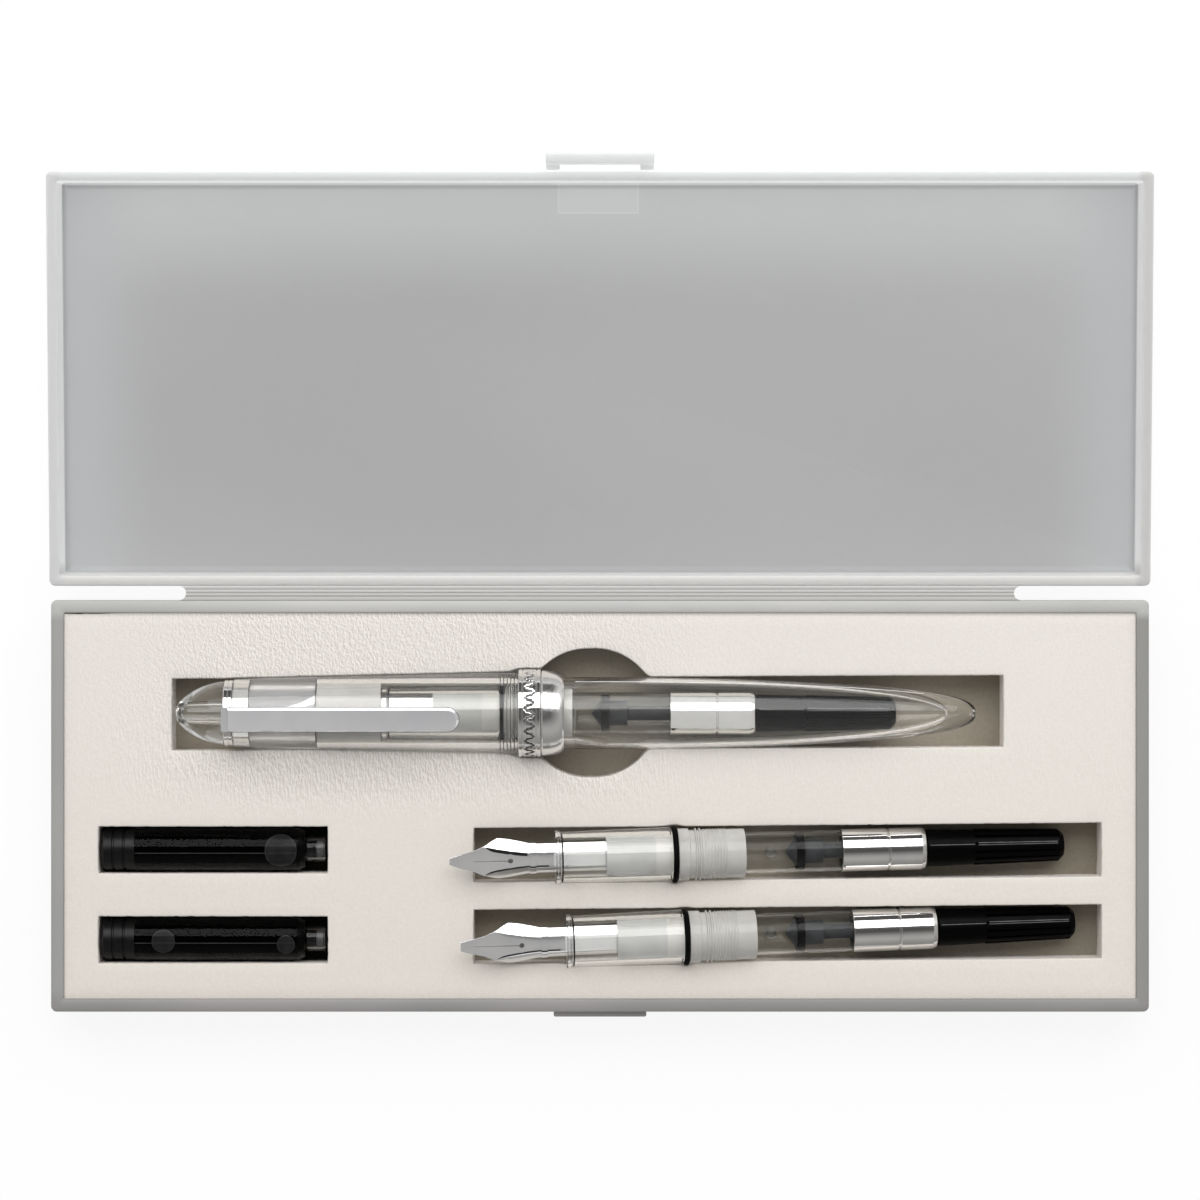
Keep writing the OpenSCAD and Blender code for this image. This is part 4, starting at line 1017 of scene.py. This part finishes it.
def unit_pieces(body):
    unit = UNITS[body]
    place, beak_z = unit["place"], -1.05
    turned = turner(body, place)
    nib(unit, body)
    under_nib = place @ turned_by(NIB_ROLL, "X") @ moved(0, 0, beak_z)
    beak = [(5.2, 0), (5.3, 0.42, .2), (8, 0.95), (11.8, 1.5, .2), (13.8, 1.75, .1),
            (26.68, 1.75, .05), (26.68, 0)]
    turner(body, under_nib)("feed_beak", beak, FEED, "clear_plastic")
    core = [(26.74, 0), (26.74, 3.38, .04), (35.07, 3.38, .02), (35.07, 0)]
    turned("feed_core", core, FEED, "clear_plastic", "feed")
    grip = [(18.0, 3.7, .1), (18.0, 4.6, .22), (18.85, 4.6, .2), (18.95, 4.4, .1), (20.2, 4.4),
            (37.8, 4.75, .12), (38.0, 4.6, .06), (38.0, 3.9, .05), (39.0, 3.9, .02),
            (39.0, 3.44), (19.3, 3.44, .03), (19.3, 3.7, .02)]
    turned("grip", grip, CLEAR, "clear_plastic", "section", around=96)
    washer = [(19.0, 3.0, .03), (19.0, 3.85, .03), (19.28, 3.85, .03), (19.28, 3.0, .03)]
    turned("grip_washer", washer, RUBBER, "black_rubber")
    sleeve = [(39.03, 4.45, .08), (40.9, 4.45, .06), (41.0, 4.15, .04)]
    sleeve += ridges(42.1, 0.72, 2, 4.15, 4.47, 0.26) + ridges(43.6, 0.5, 8, 4.2, 4.33, 0.17)
    sleeve += [(50.5, 4.2, .12), (50.5, 3.66, .08), (40.0, 3.66, .04), (40.0, 1.5, .04),
               (43.0, 1.5, .1), (43.0, 0.7), (35.08, 0.7, .03), (35.08, 3.38, .02), (39.03, 3.38)]
    turned("thread_sleeve", sleeve, MILK, "frosted_plastic", steps=3)
    # the pen's own ring is squeezed flat in the barrel's neck
    bead = 0.28 if body == "pen" else 0.475
    ring = [(RING_U + bead * math.cos(TURN * i / 20), 4.4 + bead * math.sin(TURN * i / 20))
            for i in range(20)]
    turned("ring_seal", ring, RUBBER, "black_rubber", "o_ring")
    # the wide bore reaches into the ferrule, as far as the piston's disc is drawn
    tube = [(40.05, 3.3, .1), (40.4, 3.6, .08), (67.15, 3.6, .06), (67.15, 3.28, .01),
            (73.9, 3.28, .04), (73.9, 2.85, .04), (68.2, 2.85, .04), (68.0, 3.22, .01),
            (41.4, 3.22, .1), (41.4, 1.55, .05), (40.05, 1.55, .05)]
    turned("tube", tube, TUBE, "clear_plastic", "converter_tube")
    ferrule = [(FERRULE_U, 3.7, .12), (74.98, 3.7, .05), (75.2, 3.48, .08), (75.42, 3.7, .05),
               (80.9, 3.7, .3), (81.55, 3.5, .2), (81.9, 3.05, .12), (81.9, 2.33, .04),
               (73.95, 2.33, .04), (73.95, 3.3, .04), (FERRULE_U, 3.3, .04)]
    turned("ferrule_sleeve", ferrule, CHROME, "chrome", "ferrule", around=96)
    knob = [(72.4, 2.77, .05), (73.85, 2.77, .05), (73.85, 2.25, .05), (81.95, 2.25, .02),
            (81.95, 3.2, .12), (90.1, 3.02, .05), (90.33, 3.12, .03), (104.8, 2.78, .25),
            (105.7, 1.9, .2), (105.7, 0.9, .1), (105.2, 0.6, .1), (101.7, 0.4, .05),
            (101.7, 1.38, .05), (72.4, 1.38, .05)]
    turned("turning_knob", knob, BLACK, "black_plastic", "knob", "_knob", around=RIBS * 10,
           steps=3, shape=rib_shape)
    # painted highlights: light lines along the smooth part and the rib edges of the knob
    for line, span, radii, angle in (("line", (82.3, 90.0), (3.2, 3.03), 12),
                                     ("edge_10", (90.6, 104.4), (3.11, 2.79), 9.6),
                                     ("edge_16", (90.6, 104.4), (3.11, 2.79), 16.2)):
        painted_line(f"{body}_knob_{line}", body + "_knob", place, span, radii, angle,
                     "black_plastic")
    tip = FERRULE_U - unit["gap"]
    seal = [(tip, 0), (tip + 0.12, 0.14, .05), (tip + 1.9, 2.5, .06), (tip + 1.9, DISC_R, .06),
            (tip + 3.2, DISC_R, .06), (tip + 3.2, 2.1, .06), (tip + 6.5, 2.1, .12),
            (tip + 6.5, 1.35, .06), (tip + 3.42, 1.35), (tip + 3.42, 0)]
    turned("seal", seal, [SEAL, DISC], "seal_rubber", "piston_seal", "_piston",
           pick=lambda u, r, j: int(tip + 1.85 < u < tip + 3.21 and r > 2.0))
    rod = [(tip + 3.46, 0), (tip + 3.46, 1.28, .05), (tip + 31.9, 1.28, .1), (tip + 31.9, 0)]
    turned("rod", rod, ROD, "rod_plastic", "piston_rod", "_piston", around=36, steps=1)


for body in UNITS:
    unit_pieces(body)

BALL = clear_plastic("mixing_ball", srgb(214, 216, 220))


def dress(node, material):
    """Gives a CAD node that keeps its own shape its finish."""
    mesh = frame["nodes"][node].data
    mesh.materials.clear()
    mesh.materials.append(material)
    mesh.polygons.foreach_set("use_smooth", [True] * len(mesh.polygons))


for k in SPARES:
    dress(f"spare_{k}_ball", BALL)

# The pen's own pieces

BODY_U, BORE_END, PEN_END = 66.6, 132.0, 137.0
BAND_AROUND = 288
BAND_R, BAND_MIDDLE = 7.5, 60.7


def barrel_radius(p):
    return 6.16 * max(0.0, 1 - max(0.0, (p - BODY_U) / (PEN_END - BODY_U)) ** 2.2) ** 0.36


def bore_radius(p):
    return 5.45 * math.sqrt(max(0.0, 1 - ((p - 68) / (BORE_END - 68)) ** 2.4))


def in_ornament(u, r):
    return r > BAND_R - 0.05 and abs(u - BAND_MIDDLE) < 0.95


def stroke(u, j):
    """How deep the band's zigzag ornament is at a place, from 0 to 1."""
    across = abs((j % 12) - 6) / 6
    line = abs((u - 59.85) / 1.7 - across) / 0.2
    bar = abs(across - 0.5) / 0.12 + max(0.0, abs(u - BAND_MIDDLE) - 0.5) * 8
    return max(0.0, 1 - min(line, bar))


def zigzag(u, r, j):
    """A plain zigzag ornament cut round the band."""
    return r - 0.12 * min(1.0, stroke(u, j) * 1.6) if in_ornament(u, r) else r


def pen_pieces():
    turned = turner("pen", PEN_PLACE)
    spread = [(i / 22) ** 1.7 for i in range(23)]
    dome = [(8.5 * t, 5.45 * (1 - (1 - t) ** 1.6) ** 0.55) for t in spread]
    finial = dome[:-1] + [(8.48, 5.45, .12), (8.48, 1.4, .03), (1.5, 1.3, .1), (1.5, 1.1, .05),
                          (8.44, 1.1), (8.5, 3.0, .05), (12.85, 3.0, .1), (12.85, 0)]
    turned("dome", finial, CLEAR, "clear_plastic", "finial", around=96)
    ring = [(8.52, 5.65, .2), (9.2, 5.65, .03), (9.3, 5.52, .04), (9.4, 5.65, .03),
            (10.1, 5.65, .2), (10.1, 3.06, .05), (8.52, 3.06, .05)]
    turned("ring", ring, CHROME, "chrome", "clip_ring", around=96)
    bushing = [(10.16, 5.08, .12), (12.88, 5.08, .12), (12.88, 3.06, .05), (10.16, 3.06, .05)]
    turned("bushing", bushing, CHROME, "chrome", "clip_bushing")
    cap = [(10.15, 5.85, .12), (58.72, 6.95, .06), (58.75, 6.34, .03), (62.58, 6.34, .05),
           (62.58, 5.17, .05), (24.36, 5.17, .03), (24.36, 4.0, .03), (12.95, 4.0, .08),
           (12.95, 5.15, .08), (10.15, 5.15, .05)]
    turned("cap", cap, [CLEAR, HAZE], "clear_plastic", "cap_shell", around=96,
           pick=lambda u, r, j: int(12.9 < u < 24.4 and r < 4.1))
    # painted lines in the clear wall: grey rings for the lines that the step in the bore and the
    # threads at the mouth show
    for i, p in enumerate((24.3, 55.7, 56.3, 56.9, 57.5, 58.1)):
        line = [(p - 0.07, 5.25), (p - 0.07, 5.4), (p + 0.07, 5.4), (p + 0.07, 5.25)]
        turned(f"cap_line_{i}", line, PAINTED_LINE_GREY, "clear_plastic")
    liner = [(24.42, 5.09, .15), (35.4, 5.09, .15), (35.4, 4.02, .1), (24.42, 4.02, .1)]
    turned("liner", liner, LINER, "clear_plastic", "inner_cap")
    band = [(58.8, BAND_R, .15), (59.4, BAND_R, .05), (59.46, 7.36, .04), (59.58, 7.36, .04),
            (59.64, BAND_R, .05)] + [(59.75 + 0.1 * i, BAND_R) for i in range(20)]
    band += [(61.76, BAND_R, .05), (61.82, 7.36, .04), (61.94, 7.36, .04), (62.0, BAND_R, .05),
             (62.6, BAND_R, .15), (62.6, 6.4, .05), (58.8, 6.4, .05)]
    turned("band", band, [CHROME, ENGRAVED], "chrome", "cap_band", around=BAND_AROUND,
           shape=zigzag, pick=lambda u, r, j: int(in_ornament(u, r) and stroke(u, j) > 0.3))
    arch = [(62.66 + 3.9 * t, 6.2 + 1.15 * math.sqrt(1 - (0.97 * t) ** 2), .02)
            for t in [i / 14 for i in range(15)]]
    trim = [(62.66, 7.2, .1)] + arch[1:] + [(66.58, 6.2, .08), (66.58, 5.65, .04),
                                            (62.66, 5.65, .04)]
    turned("trim", trim, POLISHED, "chrome", "barrel_ring", around=120)
    outside = [BODY_U + (PEN_END - BODY_U) * math.sin(rad(90 * i / 32)) for i in range(1, 32)]
    bore = [74 + (BORE_END - 74) * math.sin(rad(90 * i / 28)) for i in range(27, -1, -1)]
    shell = [(BORE_END, 0)] + [(p, bore_radius(p)) for p in bore]
    shell += [(68.3, 4.53, .3), (56.56, 4.53, .1), (56.56, 4.85, .1)]
    shell += ridges(57.0, 0.7, 4, 4.76, 5.1, 0.24)
    shell += [(62.62, 4.9, .03), (62.62, 5.6, .05), (66.55, 5.6, .03), (BODY_U, 6.1, .02)]
    shell += [(p, barrel_radius(p)) for p in outside] + [(PEN_END, 0)]
    turned("barrel", shell, CLEAR, "clear_plastic", "barrel_shell", around=96, steps=3)
    # painted highlights: white lines along the barrel's rear and front
    for where, first, last, angle in (("rear", 68.5, 128, 62), ("front", 74, 127, -58)):
        span = [first + (last - first) * i / 12 for i in range(13)]
        painted_line("pen_barrel_line_" + where, "pen", PEN_PLACE, span,
                     [barrel_radius(p) for p in span], angle, "clear_plastic", GLINT)


pen_pieces()


def clip():
    """A bar with a rounded end, a broad bevel behind and a steep one in front, and its post."""
    half, thick, top, length, start = 2.2, 0.8, 8.25, 40.4, 8.5
    lean, roll = 0.38, 7
    place = PEN_PLACE @ turned_by(roll, "X")
    turns = [rad(a) for a in range(0, 181, 9)]

    def outline(inset, lowered):
        """The bar's outline. Behind and in front have their own inset and drop."""
        points = []
        for turn in turns:
            share = (1 + math.cos(turn)) / 2
            back = [front + (rear - front) * share for front, rear in (inset, lowered)]
            reach = half - back[0]
            points.append((length - half + reach * math.sin(turn), reach * math.cos(turn), back[1]))
        rear, front = points[0], points[-1]
        points = [(1.1 + inset[1] * 0.3, rear[1], rear[2])] + points
        points.append((1.1 + inset[0] * 0.3, front[1], front[2]))
        return [(start + x, y, top - z - lean * (half - y) / (2 * half)) for x, y, z in points]

    levels = [((0.1, 0.1), (thick, thick)), ((0, 0), (thick - 0.1, thick - 0.1)),
              ((0, 0), (0.5, 0.34)), ((0.1, 0.1), (0.4, 0.28)), ((0.4, 0.58), (0, 0)),
              ((0.5, 0.7), (-0.01, -0.01))]
    verts, faces = [], []
    skin([outline(inset, lowered) for inset, lowered in levels], verts, faces)

    def shade(strip, i):
        """A painted dark reflection round the bevel's foot is 1, and the painted highlight on the
        bevel in front is 2.
        """
        if strip == 2:
            return 1
        return 2 if strip == 3 and len(turns) // 2 < i <= len(turns) else 0

    picks = [shade(strip, i) for strip in range(len(levels) - 1) for i in range(len(turns) + 2)]
    post = []
    for z, grow in ((5.78, 0), (6.4, 0), (7.2, 0.02), (7.75, 0.06)):
        post.append([(start + 0.85 + (x * (0.78 + grow)), y * (1.9 + grow), z)
                     for x, y in ((-1, -1), (-0.6, -1.06), (0.6, -1.06), (1, -1),
                                  (1, 1), (0.6, 1.06), (-0.6, 1.06), (-1, 1))])
    skin(post, verts, faces)
    ball_p, ball_r = start + length - half, 0.5
    middle = 5.85 + 1.1 * (ball_p - 10.15) / 48.6 + 0.1 + ball_r
    rings = []
    for a in range(-80, 81, 16):
        r = ball_r * math.cos(rad(a)) if abs(a) < 79 else 0.12
        rings.append([(ball_p + r * math.cos(TURN * i / 20), r * math.sin(TURN * i / 20),
                       middle + ball_r * math.sin(rad(a))) for i in range(20)])
    skin(rings, verts, faces)
    picks += [0] * (len(faces) - len(picks))
    make("pen_clip_bar", verts, faces, [SATIN, PAINTED_LINE_GREY, GLINT], "clip", ["pen_clip"], place,
         picks=picks, sharp=40, slot="chrome")


clip()

# Cartridges


def bubble(name, body, place, u, angle, half_u, half_across):
    """A round bubble seen in the ink, with a lighter rim that is a painted highlight."""
    radius, inner_radius, around = 3.5, 3.3, 28

    def ring(size, r):
        points = []
        for i in range(around):
            a = TURN * i / around
            turn = rad(angle) + half_across * size * math.sin(a) / r
            points.append((u + half_u * size * math.cos(a), r * math.sin(turn), r * math.cos(turn)))
        return points

    sizes = (0.02, 0.25, 0.5, 0.75, 0.92, 1.0)
    verts, faces = [], []
    skin([ring(size, radius) for size in sizes] + [ring(1.0, inner_radius)], verts, faces)
    rim = len(sizes) - 2
    picks = [int(face // around == rim) for face in range(len(faces))]
    make(name, verts, faces, [BUBBLE, BUBBLE_HIGHLIGHT], body, place=place, picks=picks, slot="ink")


def cartridge(k, y, bubbles):
    """A cartridge. Each bubble gives its place, angle and two half sizes."""
    body = f"cartridge_{k}"
    x, z = -85.4, 8.55
    place = moved(x, y, z)
    turned = turner(body, place)
    tail_end, shoulder = 5.57, 35.02
    case = [(0, 0), (0, 2.9, .1), (0, 3.15, .15), (0.3, 3.5, .1)]
    for u in (5.6 / 3, 11.2 / 3):
        case += [(u - 0.22, 3.53, .05), (u - 0.12, 3.3, .05), (u + 0.12, 3.3, .05),
                 (u + 0.22, 3.53, .05)]
    case += [(5.6, 3.55, .04), (5.65, 3.65, .05), (33.5, 3.65, .5), (34.7, 3.1, .4),
             (35.0, 2.4, .15), (35.05, 2.15, .06), (38.2, 2.15, .15), (38.2, 1.55, .08),
             (33.6, 1.55, .1), (33.4, 3.05, .3), (5.62, 3.05, .2), (5.6, 0)]
    turned("case", case, [SMOKE, NECK, TAIL], "shell_plastic", "shell",
           pick=lambda u, r, j: 2 if u < tail_end else int(u > shoulder))
    ink = [(5.66, 0), (5.66, 3.45, .1), (33.2, 3.45, .4), (33.9, 2.6, .3), (34.3, 1.4, .2),
           (36.6, 1.4, .2), (36.6, 0)]
    turned("fill", ink, INK, "ink", "ink")
    plug = [(36.7, 0), (36.7, 1.5, .2), (37.9, 1.5, .2), (37.9, 0)]
    turned("stopper", plug, PLUG, "frosted_plastic", "plug", around=36)
    # painted highlight: a light line along the shell
    painted_line(body + "_line", body, place, (5.7, 32.9), (3.65, 3.65), -8, "shell_plastic",
                 SEAL)
    for end, sizes in zip(("rear", "front"), bubbles):
        bubble(f"{body}_bubble_{end}", body, place, *sizes)


cartridge(1, CARTRIDGE_YS[0], [(30.7, -2, 2.75, 3.1)])
cartridge(2, CARTRIDGE_YS[1], [(31.6, -14, 1.55, 1.7), (10.6, -4, 2.0, 2.1)])

# Studio


def floor():
    """A plain floor that keeps the shadow and looks nearly white."""
    half, below, seen_white = 3.0, -5e-5, 0.88
    mesh = bpy.data.meshes.new("floor")
    corners = [(x * half, y * half, below) for x, y in ((-1, -1), (1, -1), (1, 1), (-1, 1))]
    mesh.from_pydata(corners, [], [[0, 1, 2, 3]])
    t = Tree("studio_floor")
    matte = t.add("BsdfDiffuse", {"Color": grey(0.9)})
    white = t.add("Emission", {"Color": WHITE, "Strength": 1.0})
    seen = t.add("LightPath", out="Is Camera Ray")
    for kind in ("Is Glossy Ray", "Is Transmission Ray"):
        seen = t.math("MAXIMUM", seen, t.add("LightPath", out=kind))
    mesh.materials.append(t.show(t.choose(t.times(seen, seen_white), matte, white)))
    link("floor", mesh)


def key_lamp():
    """One wide soft lamp high up behind the box, aimed at the middle of the tray."""
    place, wide, deep, radiance = Vector((0, 0.544, 0.7355)), 1.4, 0.68, 2.95
    data = bpy.data.lights.new("key", "AREA")
    data.shape = "RECTANGLE"
    data.size, data.size_y = wide, deep
    data.energy = radiance * math.pi * wide * deep
    piece = link("key", data)
    piece.location = place
    piece.rotation_mode = "QUATERNION"
    piece.rotation_quaternion = (-place).to_track_quat("-Z", "Y")
    piece.visible_camera = False


# the grey room's level at angles from straight overhead
ROOM = [(90, 0.25), (78, 0.28), (65, 0.33), (52, 0.4), (41, 0.39), (30, 0.31), (20, 0.18),
        (13, 0.08), (2, 0.11)]


def surroundings():
    """Even light all round.

    Shiny pieces show a grey room that is dim overhead, dark behind and bright in its rear corners.
    """
    t = Tree("studio", "World")
    bpy.context.scene.world = t.owner

    def background(level, colour=WHITE):
        return t.add("Background", {0: colour, 1: level})

    def linear(*values):
        return t.add("MapRange", dict(enumerate(values)))
    x, y, z = t.split(t.add("TexCoord", out="Generated"))
    ramp = t.nodes.new("ShaderNodeValToRGB")
    t.links.new(z, ramp.inputs[0])
    for from_overhead, level in ROOM:
        stop = ramp.color_ramp.elements.new(math.cos(rad(from_overhead)))
        stop.color = (level, level * 0.985, level * 0.96, 1)
    for edge in (0, -1):
        ramp.color_ramp.elements.remove(ramp.color_ramp.elements[edge])
    behind = linear(t.math("ABSOLUTE", x), 0.25, 0.45, 0.3, 2.4)
    room = background(linear(y, 0.2, 0.5, 1.0, behind), ramp.outputs[0])
    shown = background(0.5)
    for kind, view in (("Is Glossy Ray", room), ("Is Transmission Ray", background(0.7)),
                       ("Is Camera Ray", background(1.0))):
        shown = t.choose(kind, shown, view)
    t.show(shown)


def camera():
    data = bpy.data.cameras.new("camera")
    data.sensor_width = 36
    data.lens = 122.7
    data.clip_start, data.clip_end = 0.05, 20
    piece = link("camera", data)
    piece.location = (0, 0.03525, 0.7124)
    bpy.context.scene.camera = piece


floor()
surroundings()
key_lamp()
camera()
bpy.context.scene.view_settings.view_transform = "Standard"
